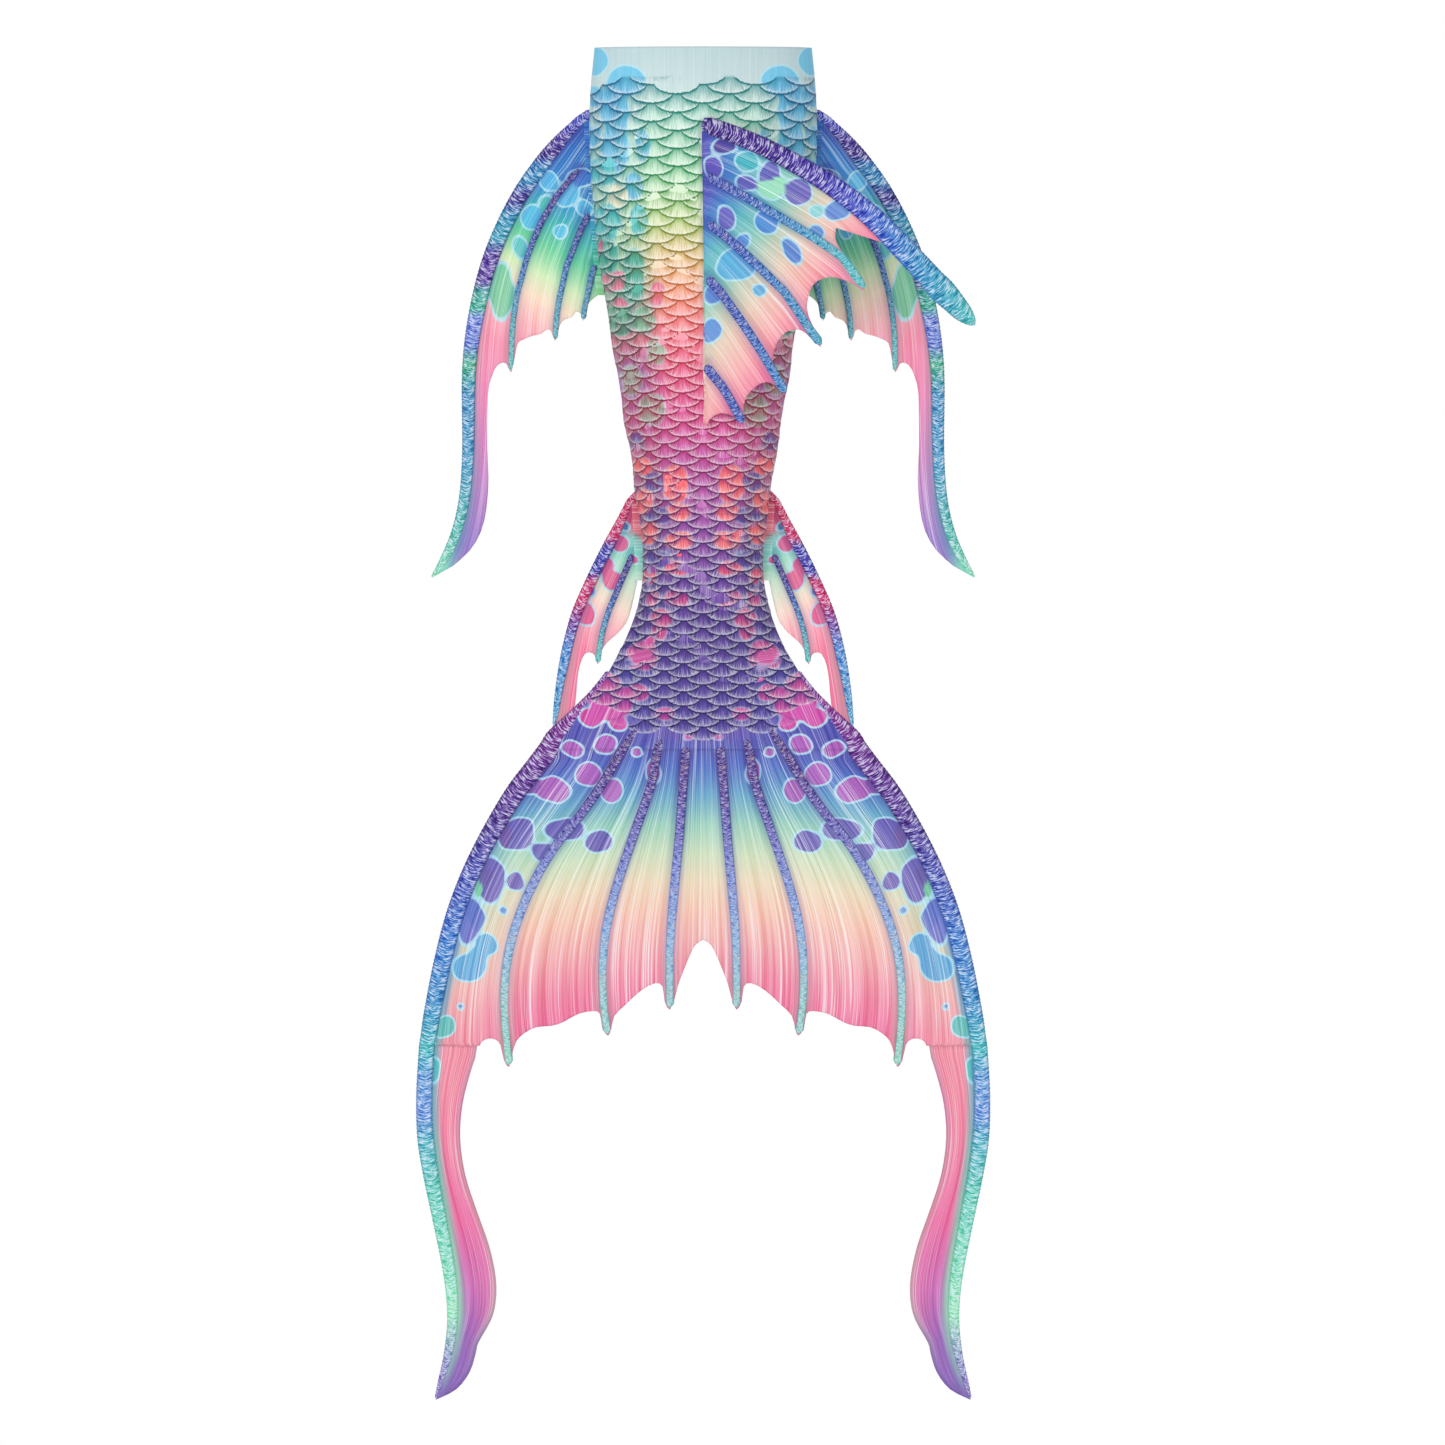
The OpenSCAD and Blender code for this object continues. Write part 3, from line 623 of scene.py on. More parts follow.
def tube_levels():
    """Heights, half widths and depths (back, front) of the tube's outer face, read from the CAD skins."""
    rows = {}
    angles = np.pi * np.arange(21) / 20
    for stem in TUBE_NODES:
        for k, side in enumerate(("back", "front")):
            co, _ = mesh_arrays(f"{stem}_{side}")
            for z in np.unique(np.round(co[:, 2], 5)):
                ring = co[np.abs(co[:, 2] - z) < 2e-5]
                width = np.abs(ring[:, 0]).max()
                near = [np.abs(ring[:, 0] - width * math.cos(a)) < 1.5e-4 for a in angles]
                depth = [np.abs(ring[n][:, 1]).max(initial=0) for n in near]
                rows.setdefault(z, {})[k] = (width, depth)
    z = np.array(sorted((r for r in rows if len(rows[r]) == 2), reverse=True))
    width = np.array([rows[r][0][0] for r in z])
    depth = np.array([[rows[r][k][1] for k in (0, 1)] for r in z])
    z, width = np.append(z, FLUKE_TOP), np.append(width, FLUKE_TOP_HALF)
    last = FLUKE_HALF * np.minimum(1, 6 * np.sin(angles))
    return z, width, np.concatenate([depth, [[last, last]]])


LEVEL_Z, LEVEL_WIDTH, LEVEL_DEPTH = tube_levels()
ACROSS = 150  # columns on each half of the tube


def column_pitch(z):
    return np.interp(z, [-0.60, -0.05], [0.0292, 0.040])


def scale_height(pu, pv):
    """Height of the overlapping scales, from 0 under a rim to 1 at its own rim."""
    best = np.full(pu.shape, 9.0)
    for step in (-1, 0, 1):
        column = np.round(pu) + step
        dx = (pu - column) / SCALE_HALF
        rise = SCALE_RISE * (1 - np.sqrt(np.maximum(1 - dx * dx, 0)))
        v = pv - 0.5 * np.mod(column, 2) + rise
        d = np.where(np.abs(dx) > 1, 9.0, np.ceil(v) - v)
        best = np.minimum(best, d)
    return np.clip(1 - best / 0.7, 0, 1) ** 1.5


def half_ring(z, k):
    """One half of the tube's outline at height z, as points evenly spaced from -x to +x."""
    i = np.clip(np.searchsorted(-LEVEL_Z, -z, side="right") - 1, 0, len(LEVEL_Z) - 2)
    t = (LEVEL_Z[i] - z) / max(LEVEL_Z[i] - LEVEL_Z[i + 1], 1e-9)
    t = min(max(t, 0.0), 1.0)
    width = LEVEL_WIDTH[i] * (1 - t) + LEVEL_WIDTH[i + 1] * t
    depth = LEVEL_DEPTH[i, k] * (1 - t) + LEVEL_DEPTH[i + 1, k] * t
    angle = np.linspace(math.pi, 0, 241)
    d = np.interp(angle[::-1], np.pi * np.arange(21) / 20, depth)[::-1]
    kernel = np.hanning(17) / np.hanning(17).sum()
    padded = np.concatenate([-d[1:9][::-1], d, -d[-9:-1][::-1]])
    d = np.convolve(padded, kernel, "valid")
    d[0] = d[-1] = 0
    x = width * np.cos(angle)
    y = d * (-1 if k == 0 else 1)
    s = np.concatenate([[0], np.cumsum(np.hypot(np.diff(x), np.diff(y)))])
    want = np.linspace(0, s[-1], ACROSS + 1)
    return np.interp(want, s, x), np.interp(want, s, y), want - s[-1] / 2


def scaly_part(x, z):
    """Where the printed scales are: below the waistband and above the V at the tail fin's root."""
    start = smooth((-0.040 - z) / 0.030)
    edge = -1.050 + 0.056 * (np.abs(x) / 0.17) ** 1.5
    return start * smooth((z - edge) / 0.02 + 0.35)


def tube_surface(z_top, z_bottom, step=0.003):
    """Grid of the outer face: positions, arc coordinate and pattern coordinates."""
    rows = int(round((z_top - z_bottom) / step)) + 1
    zs = np.linspace(z_top, z_bottom, rows)
    grid, arc = [], []
    for z in zs:
        bx, by, bu = half_ring(z, 0)
        fx, fy, fu = half_ring(z, 1)
        # once round: the back from -x to +x, then the front from +x back to -x
        x = np.concatenate([bx[:-1], fx[::-1][:-1]])
        y = np.concatenate([by[:-1], fy[::-1][:-1]])
        grid.append(np.stack([x, y, np.full_like(x, z)], 1))
        arc.append(np.concatenate([bu[:-1], fu[::-1][:-1]]))
    return zs, np.array(grid), np.array(arc)


def make_tube(name, z_top, z_bottom, replaced, bodies, start, end):
    zs, grid, arc = tube_surface(z_top, z_bottom)
    flat = grid.copy()
    pu = arc / column_pitch(grid[:, :, 2])
    pv = row_at(grid[:, :, 2]) * np.ones_like(pu)
    # outward direction of each point
    along = np.gradient(grid, axis=0)
    across = np.roll(grid, -1, 1) - np.roll(grid, 1, 1)
    normal = np.cross(along, across)
    normal /= np.maximum(np.linalg.norm(normal, axis=2, keepdims=True), 1e-9)
    middle = grid.mean(1, keepdims=True)
    if ((grid - middle) * normal).sum() < 0:
        normal = -normal
    share = scaly_part(grid[:, :, 0], grid[:, :, 2])
    fade = smooth(np.minimum(np.arange(2 * ACROSS) % ACROSS, ACROSS - np.arange(2 * ACROSS) % ACROSS) / 4.0)
    lift = 0.0014 * scale_height(pu, pv) * share * fade[None, :]
    # soft folds where the cloth hangs slack
    off_seam = smooth((arc.max() - np.abs(arc)) / 0.05)
    slack = 0.0016 * np.sin(9 * grid[:, :, 2] * 6.3 + 2.2 * np.sin(arc * 31)) * off_seam
    lift = lift + slack * smooth((-0.05 - grid[:, :, 2]) / 0.1) * smooth((grid[:, :, 2] + 1.0) / 0.1)
    grid = grid + normal * lift[:, :, None]
    around = grid.shape[1]
    inner_rows = list(range(0, len(zs), 12))
    if inner_rows[-1] != len(zs) - 1:
        inner_rows.append(len(zs) - 1)
    squeeze = np.minimum(CLOTH_THICK, 0.45 * np.abs(flat[inner_rows][:, :, 1:2]) + 0.0003)
    inner = flat[inner_rows] - normal[inner_rows] * squeeze
    points = np.concatenate([grid.reshape(-1, 3), inner.reshape(-1, 3)])
    faces = []
    rows, first = len(zs), len(zs) * around
    for i in range(rows - 1):
        a = i * around + np.arange(around)
        b = i * around + (np.arange(around) + 1) % around
        faces.append(np.stack([a, b, b + around, a + around], 1))
    for i in range(len(inner_rows) - 1):
        a = first + i * around + np.arange(around)
        b = first + i * around + (np.arange(around) + 1) % around
        faces.append(np.stack([a, a + around, b + around, b], 1))
    top = np.arange(around), (np.arange(around) + 1) % around
    faces.append(np.stack([top[0], first + top[0], first + top[1], top[1]], 1))
    low, low_in = (rows - 1) * around, first + (len(inner_rows) - 1) * around
    faces.append(np.stack([low + top[0], low + top[1], low_in + top[1], low_in + top[0]], 1))
    obj = new_object(name, points, np.concatenate(faces))
    dress_print(obj, body_colours)
    give(obj, "pu", np.concatenate([pu.ravel(), pu[inner_rows].ravel()]))
    give(obj, "pv", np.concatenate([pv.ravel(), pv[inner_rows].ravel()]))
    give(obj, "outside", np.concatenate([np.ones(share.size), np.zeros(share[inner_rows].size)]))
    fan = pu.ravel() * 0.55
    if z_bottom == FLUKE_TOP:
        flare = smooth((-0.93 - grid[:, :, 2].ravel()) / 0.03)
        flared = fan_coordinate(grid[:, :, 0].ravel(), grid[:, :, 2].ravel(), fluke_lines, 2)
        fan = np.where(flare > 0, flared, fan)
    give(obj, "along", points[:, 2])
    give(obj, "fan", np.concatenate([fan, fan.reshape(pu.shape)[inner_rows].ravel()]))
    obj.data.materials.append(SCALE_MATERIAL)
    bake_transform(obj)
    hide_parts(*replaced)


def dress_print(obj, colours):
    """Gives a mesh its printed colours from where its points are."""
    co = np.array([v.co for v in obj.data.vertices], float).reshape(-1, 3)
    base, shade, spots, outline = colours(co[:, 0], co[:, 2], co[:, 1])
    sdf, spot = blobs(co[:, 0] if colours in ONE_SIDED else np.abs(co[:, 0]), co[:, 2], spots, (1, 1, 1))
    give(obj, "base", linear(np.clip(base, 0, 1)))
    give(obj, "shade", linear(np.clip(shade, 0, 1)))
    give(obj, "spot", linear(np.clip(spot, 0, 1)))
    give(obj, "sdf", sdf)
    give(obj, "outline", outline)


# ---------- printed colours ----------
# A mirrored pattern lists the spots of its right side only.

PALETTE = {
    "fluke_pink": (0.74, 0.42, 0.76), "fluke_violet": (0.46, 0.36, 0.74),
    "fluke_cyan": (0.35, 0.7, 0.88), "sky": (0.4, 0.78, 0.92), "turq": (0.3, 0.8, 0.82),
    "teal": (0.22, 0.72, 0.66), "pink": (0.93, 0.45, 0.62), "magenta": (0.86, 0.3, 0.58),
    "coral": (1.0, 0.5, 0.47), "indigo": (0.36, 0.3, 0.66), "olive": (0.62, 0.66, 0.58),
    "lilac": (0.8, 0.38, 0.75), "dorsal_blue": (0.3, 0.56, 0.86), "dorsal_violet": (0.44, 0.36, 0.76),
}


def spot_table(text):
    """Reads spots for blobs(). A line is a colour, by name or in hundredths, and then its spots."""
    spots = []
    for line in text.strip().splitlines():
        name, rows = (part.strip() for part in line.split(":"))
        rgb = PALETTE[name] if name in PALETTE else tuple(int(c) / 100 for c in name.split())
        for row in rows.split(","):
            x, z, half_x, half_z, *tilt = map(int, row.split())
            spots.append((x, z, half_x, half_z, rgb, *tilt))
    return spots



FLUKE_SPOTS = spot_table("""
    58 36 70: 256 -1106 17 13
    50 32 68: 293 -1180 17 20
    44 30 68: 322 -1243 19 25
    34 42 80: 348 -1303 20 28
    fluke_pink: 147 -1046 18 15, 100 -1057 8 8, 172 -1090 19 19, 136 -1113 17 19, 74 -1084 11 18
    fluke_pink: 225 -1113 26 19, 196 -1052 16 12
    fluke_violet: 276 -1179 24 26, 208 -1173 30 18, 156 -1190 21 18, 240 -1205 20 14
    fluke_violet: 317 -1248 20 36, 281 -1251 14 14
    45 60 85: 301 -1295 7 6
    44 46 82: 354 -1311 17 34
    50 82 66: 337 -1259 8 16
    fluke_cyan: 325 -1345 16 16, 351 -1380 26 22, 338 -1362 14 14
    40 60 85: 365 -1440 5 5
    33 78 76: 388 -1469 17 17, 406 -1535 12 20
    44 46 82: 384 -1340 8 26""")
BODY_SPOTS = spot_table("""
    sky: 163 -21 21 21, 115 -51 29 22, 133 -90 21 40, 131 -150 20 45, 91 -149 11 24
    sky: 163 -72 12 16, 166 -134 12 16
    turq: 150 -186 25 20
    sky: 103 -209 13 20
    turq: 147 -262 26 26, 97 -262 13 26
    teal: 142 -312 16 25, 104 -343 17 40
    97 93 82: 129 -225 15 18
    pink: 134 -352 25 16
    magenta: 154 -305 8 13
    pink: 127 -385 12 9
    32 70 58: 125 -408 22 24
    45 76 62: 88 -410 16 22
    pink: 70 -372 12 20
    olive: 77 -545 21 26, 108 -500 16 22
    62 78 66: 70 -455 14 20
    indigo: 100 -591 13 15, 74 -651 15 15, 68 -703 20 12, 68 -766 20 13
    coral: 42 -654 21 28, 91 -628 16 13, 88 -680 15 20, 36 -697 19 14, 36 -740 21 15
    coral: 82 -729 16 18
    95 38 50: 39 -782 19 11, 80 -792 13 12
    magenta: 77 -826 10 15, 39 -826 21 13, 62 -855 17 13, 67 -877 12 12
    88 35 66: 92 -912 26 23, 146 -953 24 18, 100 -967 21 13""")


BODY_SPOTS += [spot for spot in FLUKE_SPOTS if spot[1] + spot[3] > -1060]
BODY_SPOTS += spot_table("""
    86 34 68: 138 -984 34 26, 168 -1004 20 14, 58 -1000 18 10, 128 -1014 13 12
    80 36 70: 22 -1034 9 6""")


def body_colours(x, z, y):
    middle = ramp(z, """
        -1060 44 50 80, -1035 42 36 70, -860 46 33 67, -800 54 36 70, -700 76 44 74, -610 84 46 74,
        -560 90 47 70, -460 95 58 68, -370 98 78 72, -320 97 88 76, -260 90 93 78, -200 84 94 84,
        -100 83 93 89, -50 77 85 86, 0 74 83 84""")
    outer = ramp(z, """
        -1060 40 52 84, -990 40 42 78, -900 40 30 64, -750 52 36 66, -620 80 38 60, -550 76 38 64,
        -490 66 42 70, -440 86 52 60, -360 62 80 66, -280 80 90 76, -180 78 91 86, -50 77 86 87,
        0 74 83 85""")
    width = np.interp(-z, -LEVEL_Z, LEVEL_WIDTH)
    t = smooth((np.abs(x) / width - 0.35) / 0.5)[:, None]
    base = middle * (1 - t) + outer * t
    fin_part = (1 - scaly_part(x, z))[:, None] * (z < -0.5)[:, None]
    base = base * (1 - fin_part) + fluke_colours(x, z, y)[0] * fin_part
    shade = ramp(z, """
        -1060 22 14 50, -820 24 13 50, -720 42 14 54, -620 68 12 46, -500 80 16 40, -420 86 32 34,
        -350 86 55 22, -270 58 68 22, -180 16 64 42, -80 10 60 56, 0 40 70 75""")
    side = ramp(z, """
        -1060 22 24 56, -820 24 16 46, -700 50 18 42, -550 76 18 34, -460 60 30 36, -380 12 50 42,
        -250 10 52 52, -80 16 52 66, 0 40 65 75""")
    shade = shade * (1 - t) + side * t
    outline = 0.3 + 0.4 * smooth((0.06 + z) / 0.02) + 0.5 * fin_part[:, 0]
    return base, shade, BODY_SPOTS, outline


def fluke_colours(x, z, y):
    r = np.abs(x)
    # the bands of colour slant down towards the outside
    level = z + 0.20 * np.clip(r - 0.12, 0, 1) + 0.10 * np.clip(r - 0.30, 0, 1)
    base = ramp(level, """
        -1660 92 54 67, -1460 91 48 65, -1400 92 58 68, -1345 93 71 72, -1295 94 79 73, -1250 91 85 75,
        -1208 81 87 76, -1165 66 83 77, -1120 46 69 81, -1075 37 49 79, -1040 36 36 71""")
    outer = ramp(z, """
        -2030 55 40 72, -1940 62 42 74, -1860 80 48 76, -1760 90 46 66, -1600 92 55 65, -1500 92 60 67,
        -1420 93 73 73, -1340 86 85 74, -1270 66 82 78, -1210 44 66 82, -1100 36 51 81, -1040 38 42 76""")
    t = smooth((r - 0.27) / 0.10)[:, None]
    base = base * (1 - t) + outer * t
    # a pale green outer strip on the streamers, blue further up
    strip_colour = ramp(z, """
        -2030 62 52 80, -1990 72 93 80, -1800 70 93 80, -1600 52 86 80, -1450 42 72 84, -1200 36 45 80""")
    near = smooth(1 - (FLUKE_SIDE(z) - r) / 0.016)[:, None] * smooth((-1.25 - z) / 0.1)[:, None]
    base = base * (1 - 0.8 * near) + strip_colour * 0.8 * near
    return base, base * 0.7, FLUKE_SPOTS, np.full(len(x), 0.8)


HIP_SPOTS = spot_table("""
    sky: 257 -255 18 18, 204 -220 18 20, 215 -277 11 11
    25 52 85: 185 -196 20 14
    45 82 66: 303 -365 19 42
    sky: 230 -200 14 14
    40 80 82: 275 -300 11 16
    sky: 178 -240 12 12
    40 82 78: 236 -235 12 14""")


def hip_colours(x, z, y):
    r = np.abs(x)
    level = z + 0.55 * np.clip(0.25 - r, -0.2, 0.2)
    base = ramp(level, """
        -800 62 52 80, -700 78 56 80, -580 92 58 76, -470 95 60 70, -420 97 74 76, -375 97 88 80,
        -335 84 93 76, -290 48 84 66, -250 30 76 74, -200 24 62 84, -100 24 50 80""")
    tip = smooth((-0.70 - z) / 0.08)[:, None] * smooth((r - 0.36) / 0.03)[:, None]
    base = base * (1 - tip) + np.array((0.66, 0.90, 0.82)) * tip
    return base, base * 0.7, HIP_SPOTS, np.full(len(x), 0.8)


DORSAL_SPOTS = spot_table("""
    dorsal_violet: 142 -218 20 22
    dorsal_blue: 200 -247 18 15, 168 -278 12 12, 132 -305 13 22 30, 96 -263 18 20
    dorsal_violet: 34 -257 14 20
    fluke_cyan: 49 -328 29 24, 85 -364 10 10
    dorsal_blue: 12 -426 15 18
    dorsal_violet: 15 -180 15 17, 65 -206 18 12, 99 -190 15 18
    34 20 60: 31 -150 18 12
    66 90 78: 103 -211 22 18
    30 74 78: 65 -172 17 16
    50 84 86: 170 -246 10 10
    38 55 85: 14 -372 13 16
    dorsal_blue: 60 -290 10 12""")


def dorsal_colours(x, z, y):
    out = x + 0.75 * np.maximum(0, -z - 0.22)  # distance out from the root's top
    base = ramp(out, """
        0 38 36 74, 40 30 55 80, 80 42 74 78, 125 58 80 76, 160 78 82 75, 200 91 82 75, 250 95 72 72,
        300 94 54 66""")
    return base, base * 0.7, DORSAL_SPOTS, np.full(len(x), 0.75)


ANKLE_SPOTS = spot_table("""
    90 36 60: 125 -743 14 13, 137 -798 16 15, 104 -769 7 7, 176 -849 16 17, 150 -775 19 14
    22 62 76: 118 -716 8 7
    44 44 82: 172 -812 9 12
    50 75 85: 140 -740 9 9""")


def ankle_colours(x, z, y):
    r = np.abs(x)
    level = z + 0.5 * np.clip(0.15 - r, -0.1, 0.1)
    base = ramp(level, """
        -1000 94 52 66, -920 95 56 68, -870 97 72 76, -830 97 88 82, -780 84 93 84, -730 58 87 82,
        -712 60 82 80, -698 90 50 56, -660 82 34 46""")
    return base, base * 0.7, ANKLE_SPOTS, np.full(len(x), 0.8)


ONE_SIDED = (dorsal_colours,)

# ---------- fins ----------


def line_at(line, level, axis):
    """The other coordinate of a line of (x, z) points at a level of x (axis 0) or z (axis 2).
    The line is carried on past its ends."""
    a, b = (line[:, 0], line[:, 1]) if axis == 0 else (line[:, 1], line[:, 0])
    order = np.argsort(a)
    a, b = a[order], b[order]
    out = np.interp(level, a, b)
    n = min(4, len(a) - 1)
    low = (b[n] - b[0]) / max(a[n] - a[0], 1e-6)
    high = (b[-1] - b[-1 - n]) / max(a[-1] - a[-1 - n], 1e-6)
    limit = 1.2
    out = np.where(level < a[0], b[0] + np.clip(low, -limit, limit) * (level - a[0]), out)
    return np.where(level > a[-1], b[-1] + np.clip(high, -limit, limit) * (level - a[-1]), out)


def fan_coordinate(x, z, lines, axis):
    """Which two lines a point lies between, and where: 1.5 is halfway between the second and the third."""
    level, other = (x, z) if axis == 0 else (z, x)
    at = np.stack([line_at(line, level, axis) for line in lines], 0)
    sign = 1.0 if at[-1].mean() > at[0].mean() else -1.0
    at, other = at * sign, other * sign
    for k in range(1, len(at)):  # lines that would cross keep a little room
        at[k] = np.maximum(at[k], at[k - 1] + 0.0015)
    fan = np.full(len(x), -1.0)
    for k in range(len(at) - 1):
        t = (other - at[k]) / (at[k + 1] - at[k])
        use = (t >= 0) | (k == 0)
        fan = np.where(use, k + t, fan)
    return np.clip(fan, -1.5, len(at) + 0.5)


def inside_ring(px, pz, ring):
    """Whether points lie within a closed ring."""
    inside = np.zeros(len(px), bool)
    a, b = ring, np.roll(ring, -1, 0)
    for (x1, z1), (x2, z2) in zip(a, b):
        if z1 == z2:
            continue
        crosses = (z1 > pz) != (z2 > pz)
        inside ^= crosses & (px < (x2 - x1) * (pz - z1) / (z2 - z1) + x1)
    return inside


def ring_distance(px, pz, ring, joined=()):
    """Distance to a ring's nearest side. Sides at the heights in joined don't count."""
    best = np.full(len(px), 9.0)
    a, b = ring, np.roll(ring, -1, 0)
    for p, q in zip(a, b):
        if any(max(abs(p[1] - height), abs(q[1] - height)) < 0.0012 for height in joined):
            continue
        d = q - p
        n = max(float(d @ d), 1e-12)
        t = np.clip(((px - p[0]) * d[0] + (pz - p[1]) * d[1]) / n, 0, 1)
        best = np.minimum(best, np.hypot(px - p[0] - t * d[0], pz - p[1] - t * d[1]))
    return best


def resample(ring, spacing=0.004):
    out = []
    for p, q in zip(ring, np.roll(ring, -1, 0)):
        n = max(1, int(round(np.linalg.norm(q - p) / spacing)))
        out += [p + (q - p) * k / n for k in range(n)]
    return np.array(out)


def make_fin(name, ring, lines, axis, middle, half_t, edge_t, colours, material,
             per_panel=26, level_step=0.006, gap=None, billow=0.002, pleat=0.0005, joined=(),
             widths=(), glow=None):
    """A pleated fin of two layers, with its flat area and the size of the rectangle round it.
    lines are its rays and edges in order across the fin, as (x, z) points."""
    ring = resample(ring)
    low, high = ring.min(0), ring.max(0)
    k = 0 if axis == 0 else 1
    levels = np.arange(low[k] + 0.002, high[k], level_step)
    grid = []
    for level in levels:
        at = np.array([line_at(line, np.array([level]), axis)[0] for line in lines])
        at = np.concatenate([[2 * at[0] - at[1]], at, [2 * at[-1] - at[-2]]])
        where = np.concatenate([np.linspace(at[i], at[i + 1], per_panel, endpoint=False)
                                for i in range(len(at) - 1)])
        where = where[(where > low[1 - k]) & (where < high[1 - k])]
        where = np.sort(where)
        keep = [0] if len(where) else []
        for i in range(1, len(where)):
            if where[i] - where[keep[-1]] > 0.0013:
                keep.append(i)
        where = where[keep]
        grid.append(np.stack([np.full_like(where, level), where] if axis == 0
                             else [where, np.full_like(where, level)], 1))
    grid = np.concatenate(grid)
    grid = grid[inside_ring(grid[:, 0], grid[:, 1], ring)]
    grid = grid[ring_distance(grid[:, 0], grid[:, 1], ring) > 0.0018]
    points = [Vector(p) for p in np.concatenate([ring, grid])]
    n = len(ring)
    out = delaunay_2d_cdt(points, [(i, (i + 1) % n) for i in range(n)], [], 1, 1e-6)
    flat = np.array([tuple(v) for v in out[0]])
    tri = np.array([f for f in out[2] if len(f) == 3])
    keep = inside_ring(*flat[tri].mean(1).T, ring)
    tri = tri[keep]
    used = np.unique(tri)
    renumber = -np.ones(len(flat), int)
    renumber[used] = np.arange(len(used))
    flat, tri = flat[used], renumber[tri]
    area = np.cross(flat[tri[:, 1]] - flat[tri[:, 0]], flat[tri[:, 2]] - flat[tri[:, 0]])
    tri[area < 0] = tri[area < 0][:, ::-1]
    x, z = flat.T
    edge = ring_distance(x, z, ring, joined)
    fan = fan_coordinate(x, z, lines, axis)
    body = np.abs(np.mod(fan + 0.5, 1) - 0.5)  # distance from the nearest ray, in panels
    calm = np.prod([smooth(np.abs(z - height) / 0.03) for height in joined], axis=0)
    inner = smooth(edge / 0.012) * calm
    relief = (pleat * np.sin(fan * 2 * np.pi * 7) * inner
              + pleat * 0.6 * np.sin(fan * 2 * np.pi * 17) * inner
              - billow * smooth(body * 2) * smooth(edge / 0.03) * calm)
    half = edge_t + (half_t - edge_t) * smooth(edge / 0.03)
    if gap is None:  # one padded layer: both faces move together
        back = middle - half - relief
        front = middle + half - relief
    else:  # two layers with room between them
        back = middle - np.maximum(half + relief, gap(x, z))
        front = middle + np.maximum(half + relief, gap(x, z))
    m = len(flat)
    verts = np.concatenate([np.stack([x, back, z], 1), np.stack([x, front, z], 1)])
    # +x, +z anticlockwise seen from -y
    faces = [tuple(t) for t in tri] + [tuple(t[::-1] + m) for t in tri]
    seen = {}
    for t in tri:
        for a, b in ((t[0], t[1]), (t[1], t[2]), (t[2], t[0])):
            seen[(a, b)] = True
    faces += [(b, a, a + m, b + m) for (a, b) in seen if (b, a) not in seen]
    obj = new_object(name, verts, faces)
    dress_print(obj, colours)
    # painted shade beside the rays and pipings: how near each point is to a ray's side, fading over about
    # 6.5 mm
    gap_to_ray = np.full(len(x), 9.0)
    for line, half_width in zip(lines, widths):
        open_line = np.concatenate([line, line[::-1]])
        gap_to_ray = np.minimum(gap_to_ray, ring_distance(x, z, open_line) - half_width)
    near = np.exp(-(np.maximum(gap_to_ray, 0) / 0.0065) ** 2)
    for label, values in (("fan", fan), ("nearray", near), ("along", (x if axis == 0 else z))):
        give(obj, label, np.concatenate([values, values]))
    both = np.concatenate([flat, flat])
    # the tint of that painted shade, from the colours that glow gives
    give(obj, "ray_shade_colour", linear(np.clip(glow(both[:, 0], both[:, 1]), 0, 1)))
    obj.data.materials.append(material)
    a, b, c = flat[tri[:, 0]], flat[tri[:, 1]], flat[tri[:, 2]]
    area = float(np.abs(np.cross(b - a, c - a)).sum() / 2)
    return obj, area, (float(high[0] - low[0]), float(high[1] - low[1]))


def tube_rings(line, half_w, half_t, middle, around=20, rib=0.0004, rib_pitch=0.006, blunt=0.8, cut=()):
    """Rings of a padded tube along (x, z) points, with ribs like a coarse knit."""
    line = np.asarray(line, float)
    s = np.concatenate([[0], np.cumsum(np.linalg.norm(np.diff(line, axis=0), axis=1))])
    want = np.linspace(0, s[-1], max(8, int(s[-1] / 0.0022)))
    px, pz = np.interp(want, s, line[:, 0]), np.interp(want, s, line[:, 1])
    n = 7
    kernel = np.hanning(n + 2)[1:-1]
    kernel /= kernel.sum()
    for p in (px, pz):  # even out the slices' steps
        before, after = 2 * p[0] - p[1:n // 2 + 1][::-1], 2 * p[-1] - p[-n // 2:-1][::-1]
        p[:] = np.convolve(np.concatenate([before, p, after]), kernel, "valid")[:len(p)]
    w = np.interp(want, s, half_w)
    h = np.interp(want, s, half_t)
    tx, tz = np.gradient(px), np.gradient(pz)
    length = np.maximum(np.hypot(tx, tz), 1e-9)
    nx, nz = -tz / length, tx / length
    end = np.minimum(want if "start" not in cut else 9.0, s[-1] - want if "end" not in cut else 9.0)
    cap = np.sqrt(np.clip(end / np.maximum(w, 1e-4), 0.02, 1))
    a = 2 * np.pi * np.arange(around) / around
    ca, sa = np.cos(a), np.sin(a)
    rings = []
    for i in range(len(want)):
        bump = rib * np.sin(2 * np.pi * want[i] / rib_pitch + 4 * np.abs(ca)) * cap[i]
        u = (w[i] * cap[i] + bump) * np.sign(ca) * np.abs(ca) ** blunt
        v = (h[i] * cap[i] + bump) * np.sign(sa) * np.abs(sa) ** blunt
        rings.append(np.stack([px[i] + nx[i] * u, middle + v, pz[i] + nz[i] * u], 1))
    return np.array(rings), want, (ca + 1) / 2


